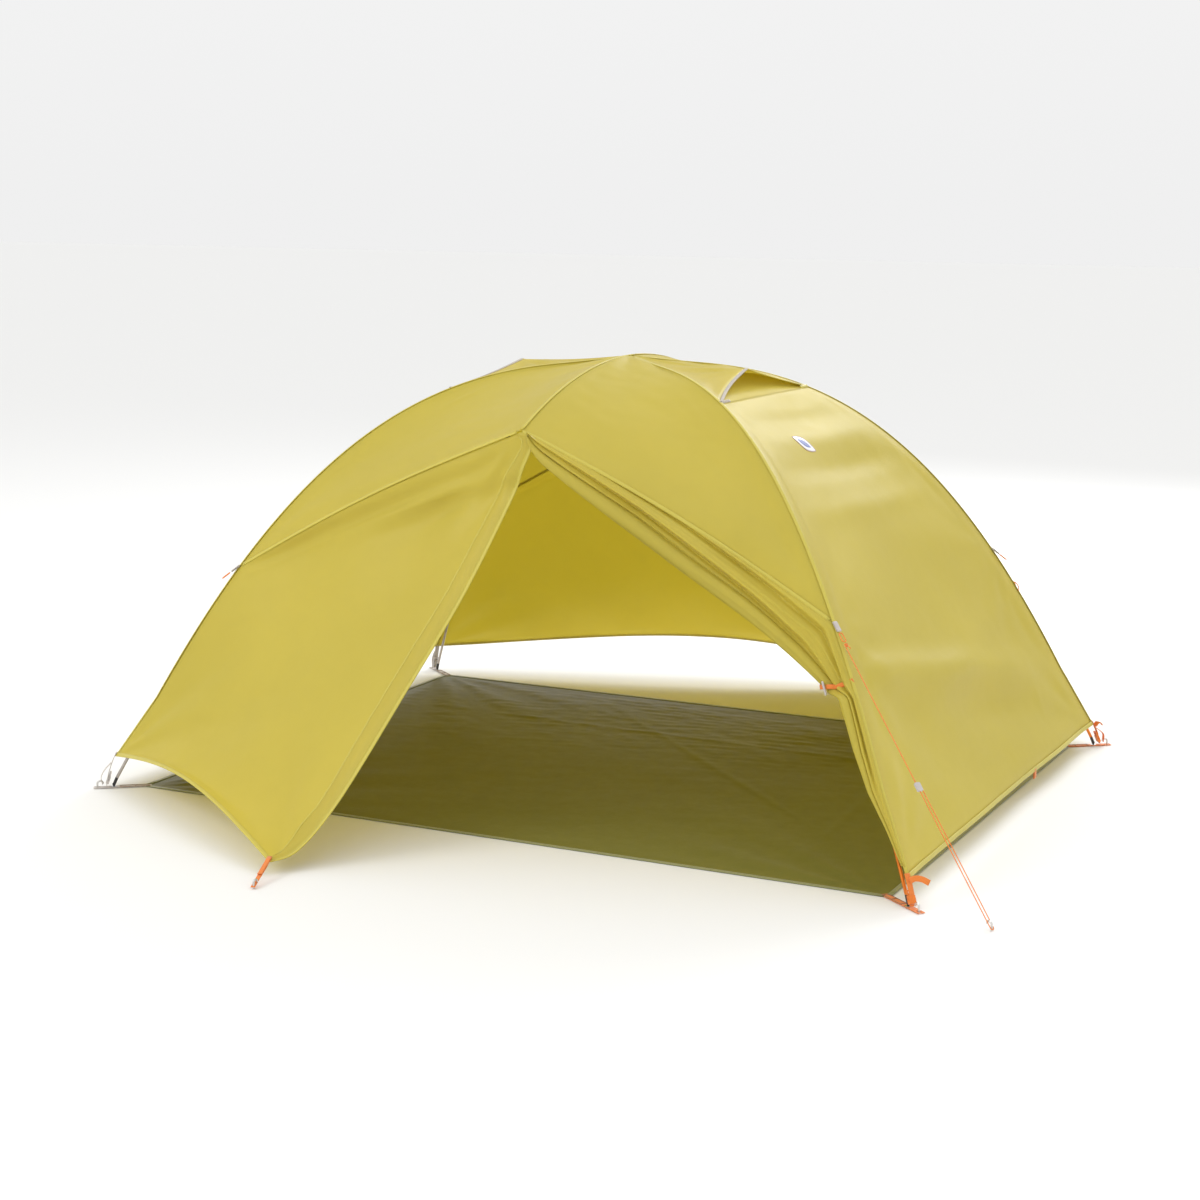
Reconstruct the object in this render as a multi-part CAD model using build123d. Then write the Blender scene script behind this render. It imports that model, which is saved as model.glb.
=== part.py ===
"""Three-person dome tent pitched as rain fly, poles and footprint, with two doors and two vestibules.

X runs along the footprint's length, -Y is the open door's side, +Z is up and z = 0 is the ground.
The origin is the middle of the footprint's underside. All sizes are millimetres.
"""
from build123d import *
from math import cos, hypot, pi, radians, sin, tan
import os

# ---------------------------------------------------------------- driving dimensions
FOOT_L, FOOT_W, FOOT_T = 2286, 1780, 2      # groundsheet
TIP_X, TIP_Y, TIP_Z = 1207, 940, 15         # where each pole leg stands in its corner grommet
CROWN_Z = 1222                              # pole centreline at the hub
ARCH_POWER, ARCH_ROUND = 2.7, 1.07          # shape of the bent pole
POLE_R, POLE_WALL = 4.5, 0.8
SLEEVE_R, SLEEVE_BORE, SLEEVE_L = 6.2, 5.1, 60
LEG_SECTIONS = 5
LEG_START = 0.006                           # station where the lowest tube begins, above its tip
SECTION_GAP = 0.4                           # half of the gap between two tubes
SHOCK_CORD_R = 1.5
HUB_SOCKET = 46                             # hub centre to the end of a leg
HUB_R, HUB_H = 24, 13
HUB_ARM, SOCKET_WALL = 74, 3                # hub centre to a socket's mouth
SCREW_X, SCREW_Y = 15, 10
BROW_Y, BROW_END_Z, BROW_TOP_Z = 690, 1078, 1240   # short cross pole, arched to the two doors
BROW_TUBE_END = 0.972                       # part of the way to the door's apex that the tube reaches
BROW_JOINTS = (-BROW_TUBE_END, -0.36, 0.36, BROW_TUBE_END)
FABRIC_T = 2                                # thickness that the cloth has here
FABRIC_STANDOFF = 10.5                      # cloth's middle surface to pole centreline
CROWN_LIFT, CROWN_F = 16, 0.85              # extra standoff where the brow pole lifts the cloth
SEAM_GAP = 3                                # each panel stops this far from its seam
HEM_X, HEM_Y = 1203, 932                    # the fly's corners
HEM_Z = {-1: 94, 1: 72}                     # left end's and right end's hem above the ground
VENT_F, GUY_F, TIE_F = 0.647, 0.249, 0.201  # stations along a leg: its tip is 0 and the hub 1
VENT_PEAK_X, VENT_PEAK_Z = 366, 1224
HOOD_RISE = 8                               # hood's ridge above the brow pole, at the middle
TOGGLE_R, TOGGLE_L = 3, 32
TOGGLE_TURN = 48                            # degrees from square across the band
MESH_T = 1.2
VEST_X, VEST_Y, VEST_Z = 320, 1450, 45      # where the vestibule's hem meets its peg strap
VEST_PEG_X, VEST_PEG_Y = 292, 1560
FLAP_FOOT = (-242, -1262, 150)              # lower end of the straight door edge
ROLL_START, ROLL_END = (45, -712, 1000), (905, -742, 498)  # rolled door, apex to tie-back
WIDE_HEM_LIFT, FRONT_HEM_LIFT, HEM_LIFT = 90, 68, 12   # rise of a door's hem, foot to leg
ZIP_W, ZIP_T, COIL_W, COIL_H = 22, 1.4, 3.4, 3.2
ZIP_INSIDE = 15                             # back zip's tape inside the door's ridge
SLIDER_L, SLIDER_W, SLIDER_H = 12, 9, 4.4
SLIDER_START = 16                           # slider's centre from the end of its zip
PEG_R, PEG_DEPTH, PEG_HOOK_R = 2.8, 150, 8
PEG_U = 47                                  # peg outboard of the pole tip
TAB_W, TAB_T = 20, 1.6                      # corner webbing
TAB_IN, TAB_OUT = -108, 58                  # its ends, from the pole tip outwards
GROMMET_R, GROMMET_FLANGE, GROMMET_BORE = 6, 8.5, 3.6
STRAP_W = 16
STRAP_OUT = -8                              # fly corner outboard of the pole tip
STRAP_FOOT = (21, 8)                        # strap's lower end in the corner plane: out, up
SOCKET_FROM, SOCKET_TO = 7, 28              # buckle's halves along the strap
CLIP_FROM, CLIP_TO = 29, 42
BUCKLE_W, BUCKLE_T, PRONG_L = 20, 8.4, 16
GUY_PEG_X, GUY_PEG_Y = 1440, -1020
CORD_R = 1.25
TENSIONER_T = 0.535                         # along the guyline, loop 0, peg 1
GUYOUT_HANG = (0.8, -0.6)                   # a free guyout's direction: out, up
GUYOUT_TAB_L, GUYOUT_TAB_W = 24, 14
LOOP_R, LOOP_CORD_R = 5.5, 1.3              # guyout's loop: half of its width, its cord
LOOP_NEAR, LOOP_FAR = 33, 56                # centres of its two bends from the seam
GUYLINE_FROM = 65
PATCH_F, PATCH_Y = 0.508, -105              # middle of the patch on the right end wall
PATCH_SLANT = 1.37                          # its long axis: part of +Y for each part down the slope
PATCH_L, PATCH_BULGE = 118, 22

CORNERS = {"front_left": (-1, -1), "front_right": (1, -1), "back_left": (-1, 1), "back_right": (1, 1)}
SIDES = {"left": -1, "right": 1}
HALF_SPAN = hypot(TIP_X, TIP_Y)
HUB_F = 1 - HUB_SOCKET / HALF_SPAN
DIAGONAL = Vector(TIP_X, TIP_Y, 0).normalized()


# ---------------------------------------------------------------- shared geometry
def leg_z(f):
    """Height of a pole's centreline at station f, 0 at its tip and 1 at the hub."""
    return TIP_Z + (CROWN_Z - TIP_Z) * (1 - (1 - f) ** ARCH_POWER) ** ARCH_ROUND


def leg_point(f, sx, sy, stand=0.0):
    """A point on a leg, moved outwards from the centreline by stand within the pole's plane."""
    step = 0.004
    lo, hi = max(f - step, 0.0), min(f + step, 1.0)
    run, rise = (hi - lo) * HALF_SPAN, leg_z(hi) - leg_z(lo)
    length = hypot(run, rise)
    out = (1 - f) * HALF_SPAN + stand * rise / length
    return Vector(sx * DIAGONAL.X * out, sy * DIAGONAL.Y * out, leg_z(f) + stand * run / length)


def seam_point(f, sx, sy, extra=0.0):
    """A point on the fly's seam over a leg, lifted near the hub by the brow pole."""
    lift = CROWN_LIFT * max(0.0, (f - CROWN_F) / (1 - CROWN_F)) ** 2
    return leg_point(f, sx, sy, FABRIC_STANDOFF + lift + extra)


def brow_point(t, side, stand=0.0):
    """A point on the brow pole, t = 0 over the hub and 1 at the door's apex on that side."""
    rise = BROW_TOP_Z - BROW_END_Z
    radius = (BROW_Y ** 2 + rise ** 2) / (2 * rise)
    y = BROW_Y * t
    z = BROW_TOP_Z - radius + (radius ** 2 - y ** 2) ** 0.5
    grow = 1 + stand / radius
    return Vector(0, side * y * grow, BROW_TOP_Z - radius + (z - BROW_TOP_Z + radius) * grow)


def mix(a, b, t):
    return a + (b - a) * t


def cloth(sections, thickness=FABRIC_T):
    """Closed thin solid through sections (start, end, normal) that are joined by ruled strips."""
    wires = []
    for start, end, normal in sections:
        half = normal.normalized() * (thickness / 2)
        wires.append(Wire.make_polygon([start + half, end + half, end - half, start - half], close=True))
    return Solid.make_loft(wires, ruled=True)


def panel_normal(a, b, c, away):
    """Unit normal of the plane through three points, turned to the same side as away."""
    normal = (b - a).cross(c - a).normalized()
    return normal if normal.dot(away) > 0 else normal * -1


def arc_tube(points, radius, bore=0.0):
    """A tube along the arc through three points."""
    path = Edge.make_three_point_arc(*points)
    section = Plane(origin=path @ 0, z_dir=path % 0) * Circle(radius)
    if bore:
        section -= Plane(origin=path @ 0, z_dir=path % 0) * Circle(bore)
    return sweep(section, path=path)


def rod(start, end, radius, bore=0.0):
    """A straight round bar or tube."""
    axis = Plane(origin=start, z_dir=end - start)
    length = (end - start).length
    bar = axis * Cylinder(radius, length, align=(Align.CENTER, Align.CENTER, Align.MIN))
    if bore:
        bar -= axis * Cylinder(bore, length, align=(Align.CENTER, Align.CENTER, Align.MIN))
    return bar


def cord_tube(points, radius, radii=None):
    """A cord's tube: straight runs joined by tangent arcs; prints its radii and its length."""
    if radii is None:
        radii = []
        for a, b, c in zip(points, points[1:], points[2:]):
            half_turn = radians((b - a).get_angle(c - b)) / 2
            radii.append(0.45 * min((b - a).length, (c - b).length) / tan(half_turn))
    path = FilletPolyline(*points, radius=radii)
    print("cord radii", [round(r, 1) for r in radii], "length", round(path.length, 1))
    start = Plane(origin=path @ 0, z_dir=path % 0)
    return sweep(start * Circle(radius), path=path)


def save(name, shapes, colour):
    """Write one node's solids to its own STEP file."""
    solids = [solid for shape in shapes for solid in shape.solids()]
    node = solids[0] if len(solids) == 1 else Compound(children=solids)
    node.label = name
    node.color = Color(*colour)
    export_step(node, f"parts/{name}.step")


# ---------------------------------------------------------------- poles
def leg_joints():
    """Stations of the joints between a leg's sections, spaced evenly along the bent pole."""
    steps = 200
    stations = [LEG_START + (HUB_F - LEG_START) * i / steps for i in range(steps + 1)]
    points = [leg_point(f, 1, 1) for f in stations]
    lengths = [0.0]
    for a, b in zip(points, points[1:]):
        lengths.append(lengths[-1] + (b - a).length)
    joints = []
    for k in range(LEG_SECTIONS + 1):
        target = lengths[-1] * k / LEG_SECTIONS
        i = min(range(steps + 1), key=lambda j: abs(lengths[j] - target))
        joints.append(stations[i])
    return joints


def leg_sections(sx, sy):
    """The tubes of one leg, tip first."""
    joints = leg_joints()
    trim = SECTION_GAP / HALF_SPAN
    tubes = []
    for lo, hi in zip(joints, joints[1:]):
        stations = (lo + trim, (lo + hi) / 2, hi - trim)
        tubes.append(arc_tube([leg_point(f, sx, sy) for f in stations], POLE_R, POLE_R - POLE_WALL))
    return tubes


def leg_sleeves(sx, sy):
    """Outer ferrules over the joints of one leg."""
    sleeves = []
    for f in leg_joints()[1:-1]:
        slope = (leg_z(f + 0.01) - leg_z(f - 0.01)) / (0.02 * HALF_SPAN)
        half = SLEEVE_L / 2 / HALF_SPAN / hypot(1, slope)
        stations = (f - half, f, f + half)
        sleeves.append(arc_tube([leg_point(g, sx, sy) for g in stations], SLEEVE_R, SLEEVE_BORE))
    return sleeves


def pole_tip(sx, sy):
    """Moulded tip: a plug on the tube's end with the pin that stands in the corner grommet."""
    top = leg_point(LEG_START, sx, sy)
    foot = Vector(sx * TIP_X, sy * TIP_Y, 0)
    pin = Pos(foot.X, foot.Y, 1) * Cylinder(2.8, 12, align=(Align.CENTER, Align.CENTER, Align.MIN))
    collar = rod(foot + Vector(0, 0, 9.0), top, POLE_R)
    ball = Pos(foot.X, foot.Y, 11) * Sphere(POLE_R)
    return pin + collar + ball


def signed_brow(t, stand=0.0):
    """The same over the whole brow pole: t runs from -1 at the front door to 1 at the back."""
    return brow_point(abs(t), 1 if t >= 0 else -1, stand)


def brow_sections():
    tubes = []
    for lo, hi in zip(BROW_JOINTS, BROW_JOINTS[1:]):
        stations = (lo + 0.0008, (lo + hi) / 2, hi - 0.0008)
        tubes.append(arc_tube([signed_brow(t) for t in stations], POLE_R, POLE_R - POLE_WALL))
    return tubes


def brow_sleeves():
    sleeves = []
    half = SLEEVE_L / 2 / BROW_Y
    for t in BROW_JOINTS[1:-1]:
        stations = (t - half, t, t + half)
        sleeves.append(arc_tube([signed_brow(u) for u in stations], SLEEVE_R, SLEEVE_BORE))
    return sleeves


def brow_tip(side):
    end = brow_point(BROW_TUBE_END, side)
    along = (end - brow_point(BROW_TUBE_END - 0.03, side)).normalized()
    return rod(end + along * 0.3, end + along * 7, POLE_R) + rod(end + along * 7, end + along * 13, 2.6)


def shock_cords():
    """Elastic cords inside the tubes, one through each leg and one through the brow pole."""
    cords = []
    for sx, sy in CORNERS.values():
        joints = leg_joints()
        stations = [joints[0] + 0.004] + joints[1:-1] + [joints[-1] - 0.004]
        for lo, hi in zip(stations, stations[1:]):
            middle = (lo + hi) / 2
            cords.append(arc_tube([leg_point(f, sx, sy) for f in (lo, middle, hi)], SHOCK_CORD_R))
    for lo, hi in zip(BROW_JOINTS, BROW_JOINTS[1:]):
        cords.append(arc_tube([signed_brow(t) for t in (lo * 0.98, (lo + hi) / 2, hi * 0.98)], SHOCK_CORD_R))
    return cords


def hub_bar(sx, sy, start, end, radius):
    """A round bar at the hub's height, along one leg's diagonal."""
    along = Vector(sx * DIAGONAL.X, sy * DIAGONAL.Y, 0)
    centre = Vector(0, 0, CROWN_Z)
    return rod(centre + along * start, centre + along * end, radius)


def hub():
    """Moulded hub: a disc with four sockets, its cap, and the screws that hold the cap."""
    disc = Pos(0, 0, CROWN_Z - HUB_H / 2) * Cylinder(HUB_R, HUB_H)
    below = Pos(0, 0, CROWN_Z - HUB_H) * Box(4 * HUB_R, 4 * HUB_R, 2 * HUB_H)
    socket_r, bore_r, clear_r = POLE_R + SOCKET_WALL, POLE_R + 0.6, HUB_R + 1.5
    body = disc
    for sx, sy in CORNERS.values():
        body += hub_bar(sx, sy, HUB_R / 2, clear_r + 2, socket_r) & below
        body += hub_bar(sx, sy, clear_r, HUB_ARM, socket_r)
        body -= hub_bar(sx, sy, HUB_SOCKET - 6, HUB_ARM + 6, bore_r)
    cap_low, cap_h, saddle_h = CROWN_Z + 0.3, 8, 8
    cap = Pos(0, 0, cap_low + cap_h / 2) * Cylinder(HUB_R, cap_h)
    cap += Pos(0, 0, cap_low + cap_h + saddle_h / 2) * Box(20, 30, saddle_h)
    cap -= Pos(0, 0, BROW_TOP_Z) * Rot(90, 0, 0) * Cylinder(bore_r, 80)
    cap -= Pos(0, 0, BROW_TOP_Z + 5) * Box(2 * POLE_R - 0.6, 80, 10)
    screw_r, head_r, head_h = 1.6, 3.2, 1.6
    screws = []
    for x, y in [(i * SCREW_X, j * SCREW_Y) for i in (-1, 1) for j in (-1, 1)]:
        shaft = Pos(x, y, CROWN_Z - 4) * Cylinder(screw_r, 24)
        head = Pos(x, y, cap_low + cap_h + 0.2 + head_h / 2) * Cylinder(head_r, head_h)
        hole = Pos(x, y, CROWN_Z - 2) * Cylinder(screw_r + 0.15, 40)
        cap -= hole
        body -= hole
        screws.append(shaft + head)
    return body, cap, screws


# ---------------------------------------------------------------- rain fly
APEX = {side: brow_point(1.0, side, FABRIC_STANDOFF) for side in (-1, 1)}
ROOF_STATIONS = [0.06 + 0.925 * i / 10 for i in range(11)]
END_STATIONS = [0.06 + (VENT_F - 0.06) * i / 10 for i in range(11)]


def side_panel(sx, sy):
    """Roof panel between the brow seam and one leg's seam, down to the door's upper seam."""
    sections = []
    for t in ROOF_STATIONS:
        brow = brow_point(t, sy, FABRIC_STANDOFF)
        leg = seam_point(1 - t * (1 - GUY_F), sx, sy)
        later = brow_point(min(t + 0.05, 1.05), sy, FABRIC_STANDOFF)
        normal = panel_normal(brow, leg, later, Vector(0, sy, 1))
        along = (leg - brow).normalized()
        sections.append((brow + along * SEAM_GAP, leg - along * SEAM_GAP, normal))
    return cloth(sections)


def end_panel(sx):
    """End wall between the two legs of one end, from its hem to the vent."""
    inset = Vector(0, SEAM_GAP + 2, 0)
    hem_front, hem_back = hem_corner(-1, sx), hem_corner(1, sx)
    low = seam_point(END_STATIONS[0], sx, 1)
    hem_normal = panel_normal(hem_front, hem_back, low, Vector(sx, 0, 0.3))
    sections = [(hem_front + inset, hem_back - inset, hem_normal)]
    for f in END_STATIONS:
        front, back = seam_point(f, sx, -1), seam_point(f, sx, 1)
        normal = panel_normal(front, back, seam_point(f + 0.01, sx, 1), Vector(sx, 0, 0.3))
        sections.append((front + inset, back - inset, normal))
    return cloth(sections)


def hood(sx):
    """Vent hood: two flat cheeks that rise from the leg seams to a short ridge."""
    cheeks = []
    for sy in (-1, 1):
        sections = []
        for t in (0.14, 0.3, 0.45, 0.6, 0.75, 0.88, 1.0):
            ridge_z = BROW_TOP_Z + HOOD_RISE + (VENT_PEAK_Z - BROW_TOP_Z - HOOD_RISE) * t
            ridge = Vector(sx * VENT_PEAK_X * t, sy * 1.2, ridge_z)
            leg = seam_point(1 - t * (1 - VENT_F) + 0.004, sx, sy, 2)
            along = (leg - ridge).normalized()
            normal = panel_normal(ridge, leg, ridge + Vector(sx * 10, 0, 0), Vector(0, 0, 1))
            sections.append((ridge, leg - along * (SEAM_GAP + 1), normal))
        cheeks.append(cloth(sections))
    return cheeks


def vent_mesh(sx):
    """Mesh panel under the hood, level with the legs."""
    sections = []
    inset = Vector(0, SEAM_GAP + 9, 0)
    for f in (VENT_F + 0.012, 0.70, 0.76, 0.82, 0.88, 0.93):
        front, back = seam_point(f, sx, -1, -2), seam_point(f, sx, 1, -2)
        later = seam_point(f + 0.01, sx, 1, -2)
        sections.append((front + inset, back - inset, panel_normal(front, back, later, Vector(0, 0, 1))))
    return cloth(sections, MESH_T)


def door_corner(side, sx):
    """Corner where the door's upper seam meets a leg."""
    return seam_point(GUY_F, sx, side)


def hem_corner(side, sx):
    return Vector(sx * HEM_X, side * HEM_Y, HEM_Z[sx])


def vestibule_front():
    """Closed half of the front door, from the left leg to the stitched line of its storm flap."""
    top_a, top_b = APEX[-1], door_corner(-1, -1)
    low_a, low_b = Vector(-VEST_X, -VEST_Y, VEST_Z), hem_corner(-1, -1)
    return vestibule_half(top_a, top_b, low_a, low_b, lift=FRONT_HEM_LIFT, edge_gap=4)


def vestibule_half(top_a, top_b, low_a, low_b, lift, edge_gap):
    """A door half between its zip line (a) and the leg (b), with its hem raised in the middle."""
    across = (low_b - low_a).normalized()
    outward = Vector(0, top_a.Y, 200).normalized()
    sections = []
    for v in (0.0, 0.25, 0.5, 0.75, 1.0):
        top = mix(top_a, top_b, v) + (low_a - top_a).normalized() * 7
        low = mix(low_a, low_b, v) + Vector(0, 0, lift * 4 * v * (1 - v))
        normal = panel_normal(top, low, top + across * 50, outward)
        sections.append((top, low, normal))
    first, last = sections[0], sections[-1]
    sections[0] = (first[0] + across * edge_gap, first[1] + across * edge_gap, first[2])
    sections[-1] = (last[0] - across * 8, last[1] - across * 8, last[2])
    return cloth(sections)


def storm_flap_front():
    """Free strip beside the closed half's stitched line; its straight edge is the door's edge."""
    top = APEX[-1] + Vector(4, -6, -12)
    edge_top = top + Vector(38, -4, -22)
    low = Vector(-VEST_X, -VEST_Y, VEST_Z) + Vector(4, 0, 4)
    edge_low = Vector(*FLAP_FOOT)
    out = panel_normal(top, low, edge_low, Vector(0, -1, 0.3))
    upper = (top, edge_top, out)
    middle = (mix(top, low, 0.62), mix(edge_top, edge_low, 0.72), out)
    lower = (mix(top, low, 0.93), edge_low, out)
    foot = (low, low + Vector(34, 42, 6), out)
    return cloth([upper, middle, lower, foot])


def back_door_halves():
    """Closed back door: its wide left half and its narrow right half, either side of the zip."""
    apex = APEX[1]
    foot = Vector(VEST_X, VEST_Y, VEST_Z)
    wide = vestibule_half(apex, door_corner(1, -1), foot, hem_corner(1, -1), lift=WIDE_HEM_LIFT, edge_gap=7)
    narrow = vestibule_half(apex, door_corner(1, 1), foot, hem_corner(1, 1), lift=HEM_LIFT, edge_gap=7)
    return wide, narrow


def storm_flap_back():
    """Strip that covers the back door's zip from outside."""
    top = APEX[1] + Vector(0, 20, -18)
    low = Vector(VEST_X, VEST_Y, VEST_Z) + Vector(0, 22, 14)
    half_top, half_low = Vector(14, 0, 0), Vector(36, 0, 0)
    out = Vector(0, 1, 0.5)
    return cloth([(top - half_top, top + half_top, out), (low - half_low, low + half_low, out)], 1.6)


def rolled_door():
    """Gathered half of the front door: a flattened roll that thickens towards its tie-back."""
    start, end = Vector(*ROLL_START), Vector(*ROLL_END)
    along = (end - start).normalized()
    up = Vector(0, 0, 1)
    side = along.cross(up).normalized()
    rise = side.cross(along).normalized()
    wires = []
    for t, high, deep in ((0.0, 26, 16), (0.3, 62, 26), (0.7, 92, 38), (0.92, 74, 34), (1.0, 44, 26)):
        centre = mix(start, end, t)
        ring = [centre + rise * (high / 2 * cos(a)) + side * (deep / 2 * sin(a))
                for a in [pi * k / 6 + pi / 12 for k in range(12)]]
        wires.append(Wire.make_polygon(ring, close=True))
    return Solid.make_loft(wires, ruled=True)


def rolled_tail():
    """Lower end of the rolled door, hanging beside the leg from the tie-back to the hem corner."""
    across = Vector(-DIAGONAL.Y, -DIAGONAL.X, 0)
    start = seam_point(TIE_F - 0.02, 1, -1) + across * 40
    end = hem_corner(-1, 1) + across * 16 + Vector(-12, 6, 24)
    out = (end - start).cross(across).normalized()
    wires = []
    for t, wide, deep in ((0.0, 46, 22), (0.35, 54, 18), (0.8, 28, 12), (1.0, 12, 8)):
        centre = mix(start, end, t)
        ring = [centre + across * (wide / 2 * cos(a)) + out * (deep / 2 * sin(a))
                for a in [pi * k / 5 for k in range(10)]]
        wires.append(Wire.make_polygon(ring, close=True))
    return Solid.make_loft(wires, ruled=True)


# ---------------------------------------------------------------- zips
def zip_frame_front():
    """Start and direction of the front zip, which runs down inside the door's straight edge."""
    start = APEX[-1] + Vector(6, 8, -62)
    end = Vector(*FLAP_FOOT) + Vector(-6, 20, 20)
    return start, end


def zip_frame_back():
    """The back zip runs just inside the ridge where its two door halves meet."""
    top, foot = APEX[1], Vector(VEST_X, VEST_Y, VEST_Z)
    along = (foot - top).normalized()
    inward = Vector(0, -1, -0.5)
    inward = (inward - along * inward.dot(along)).normalized() * ZIP_INSIDE
    return top + along * 70 + inward, foot - along * 45 + inward


def strip_plane(start, end, outward):
    """Plane at start with Z down the strip and Y as near to outward as it can be."""
    along = (end - start).normalized()
    across = along.cross(outward).normalized()
    return Plane(origin=start, x_dir=across, z_dir=along)


def zip_tape(start, end, outward):
    """Woven tape with the coil standing along its middle."""
    length = (end - start).length
    plane = strip_plane(start, end, outward)
    tape = Pos(0, 0, length / 2) * Box(ZIP_W, ZIP_T, length)
    coil = Pos(0, 0, length / 2) * Box(COIL_W, COIL_H, length)
    return plane * (tape + coil)


def zip_slider(start, end, outward, place):
    """Slider body round the coil, with its pull tab hanging outside."""
    plane = strip_plane(start, end, outward)
    clear = ZIP_T / 2 + 0.35
    body = Pos(0, clear + SLIDER_H / 2, 0) * Box(SLIDER_W, SLIDER_H, SLIDER_L)
    body -= Box(COIL_W + 1, COIL_H + 0.8, SLIDER_L + 2)
    bridge = Pos(0, clear + SLIDER_H + 0.6, -1) * Box(3, 2, 5)
    tab = Pos(0, clear + SLIDER_H + 1.8, 11) * Box(6, 1.6, 26)
    return plane * (Pos(0, 0, place) * (body + bridge + tab))


# ---------------------------------------------------------------- groundsheet and corners
def footprint():
    sheet = Box(FOOT_L, FOOT_W, FOOT_T, align=(Align.CENTER, Align.CENTER, Align.MIN))
    return fillet(sheet.edges().filter_by(Axis.Z), 18)


def corner_plane(sx, sy):
    """Plane at a pole tip's foot, X outwards along the diagonal and Z up."""
    return Plane(origin=(sx * TIP_X, sy * TIP_Y, 0), x_dir=(sx * DIAGONAL.X, sy * DIAGONAL.Y, 0),
                 z_dir=(0, 0, 1))


def corner_tab(sx, sy):
    """Webbing from the groundsheet's corner, with the grommet's hole and the peg's slot."""
    low = FOOT_T + 0.1
    tab = Pos((TAB_IN + TAB_OUT) / 2, 0, low + TAB_T / 2) * Box(TAB_OUT - TAB_IN, TAB_W, TAB_T)
    tab -= Pos(0, 0, 3) * Cylinder(GROMMET_R + 0.2, 8)
    tab -= Pos(PEG_U, 0, 3) * Box(16, 9, 8)
    return corner_plane(sx, sy) * tab


def grommet(sx, sy):
    low, high = FOOT_T - 0.9, FOOT_T + TAB_T + 1.1
    ring = Pos(0, 0, (low + high) / 2) * Cylinder(GROMMET_R, high - low)
    for z in (low + 0.45, high - 0.45):
        ring += Pos(0, 0, z) * Cylinder(GROMMET_FLANGE, 0.9)
    ring -= Pos(0, 0, 3) * Cylinder(GROMMET_BORE, 10)
    return corner_plane(sx, sy) * ring


def peg(x, y, turn):
    """Round-wire peg: straight shaft in the ground and a hook that turns back over the webbing."""
    top = 14
    shaft_end = Vector(0, 0, top)
    over = Vector(-PEG_HOOK_R, 0, top + PEG_HOOK_R)
    tip = Vector(-2 * PEG_HOOK_R, 0, top)
    path = Edge.make_line((0, 0, -PEG_DEPTH), shaft_end)
    hook = Edge.make_three_point_arc(shaft_end, over, tip)
    wire = sweep(Plane.XY.offset(-PEG_DEPTH) * Circle(PEG_R), path=path)
    bend = sweep(Plane.XY.offset(top) * Circle(PEG_R), path=hook)
    return Pos(x, y, 0) * Rot(0, 0, turn) * (wire + bend)


def turn_of(sx, sy):
    """Heading of a corner's diagonal in degrees."""
    return Vector(1, 0, 0).get_signed_angle(Vector(sx * TIP_X, sy * TIP_Y, 0), Vector(0, 0, 1))


def strap_plane(sx, sy):
    """Plane on the fly strap: origin at its foot, Z up along it, Y outwards from the tent."""
    run, rise = STRAP_OUT - STRAP_FOOT[0], HEM_Z[sx] - STRAP_FOOT[1]
    length = hypot(run, rise)
    base = Plane(origin=(STRAP_FOOT[0], 0, STRAP_FOOT[1]), x_dir=(0, -1, 0), z_dir=(run, 0, rise))
    return corner_plane(sx, sy) * base, length


def buckle_socket(sx, sy):
    """Female half of the side-release buckle with its short webbing to the corner tab."""
    frame, _ = strap_plane(sx, sy)
    length = SOCKET_TO - SOCKET_FROM
    shell = Pos(0, 0, (SOCKET_FROM + SOCKET_TO) / 2) * Box(BUCKLE_W, BUCKLE_T, length)
    shell -= Pos(0, 0, SOCKET_FROM + 3 + length / 2) * Box(BUCKLE_W - 3.2, BUCKLE_T - 3.2, length)
    shell -= Pos(0, 0, SOCKET_TO - 8) * Box(BUCKLE_W + 4, BUCKLE_T - 5, 6)
    return frame * shell


def socket_webbing(sx, sy):
    frame, _ = strap_plane(sx, sy)
    return frame * (Pos(0, 0, SOCKET_FROM / 2 + 0.2) * Box(STRAP_W, TAB_T, SOCKET_FROM - 1.2))


def buckle_clip(sx, sy):
    """Male half: two prongs and a guide in the socket, and the bar that the fly strap turns on."""
    frame, _ = strap_plane(sx, sy)
    body = Pos(0, 0, (CLIP_FROM + CLIP_TO) / 2) * Box(BUCKLE_W, 4.6, CLIP_TO - CLIP_FROM)
    body -= Pos(0, 0, (CLIP_FROM + CLIP_TO) / 2 + 1) * Box(BUCKLE_W - 5, 8, 5)
    for x in (-6.4, 0, 6.4):
        body += Pos(x, 0, CLIP_FROM - PRONG_L / 2 + 0.5) * Box(2.8, 3.4, PRONG_L)
    return frame * body


def fly_strap(sx, sy):
    """Webbing from the fly's corner down the buckle's outer face, and its loose tail."""
    frame, length = strap_plane(sx, sy)
    low = CLIP_FROM + 1
    top = length - 3
    strap = Pos(0, 3.6, (low + top) / 2) * Box(STRAP_W, 1.6, top - low)
    tail = Pos(0, 5.6, CLIP_FROM + 4) * Rot(-62, 0, 0) * Pos(0, 0, 18) * Box(STRAP_W, 1.6, 34)
    return [frame * strap, frame * tail]


# ---------------------------------------------------------------- guyouts, guyline, tie-backs
def leg_frame(f, sx, sy, stand):
    """Plane on a leg's seam: Z outwards from the tent, X along the leg towards the hub."""
    origin = leg_point(f, sx, sy, stand)
    along = leg_point(f + 0.01, sx, sy) - leg_point(f - 0.01, sx, sy)
    outward = leg_point(f, sx, sy, 10) - leg_point(f, sx, sy, 0)
    return Plane(origin=origin, x_dir=along, z_dir=outward)


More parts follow.
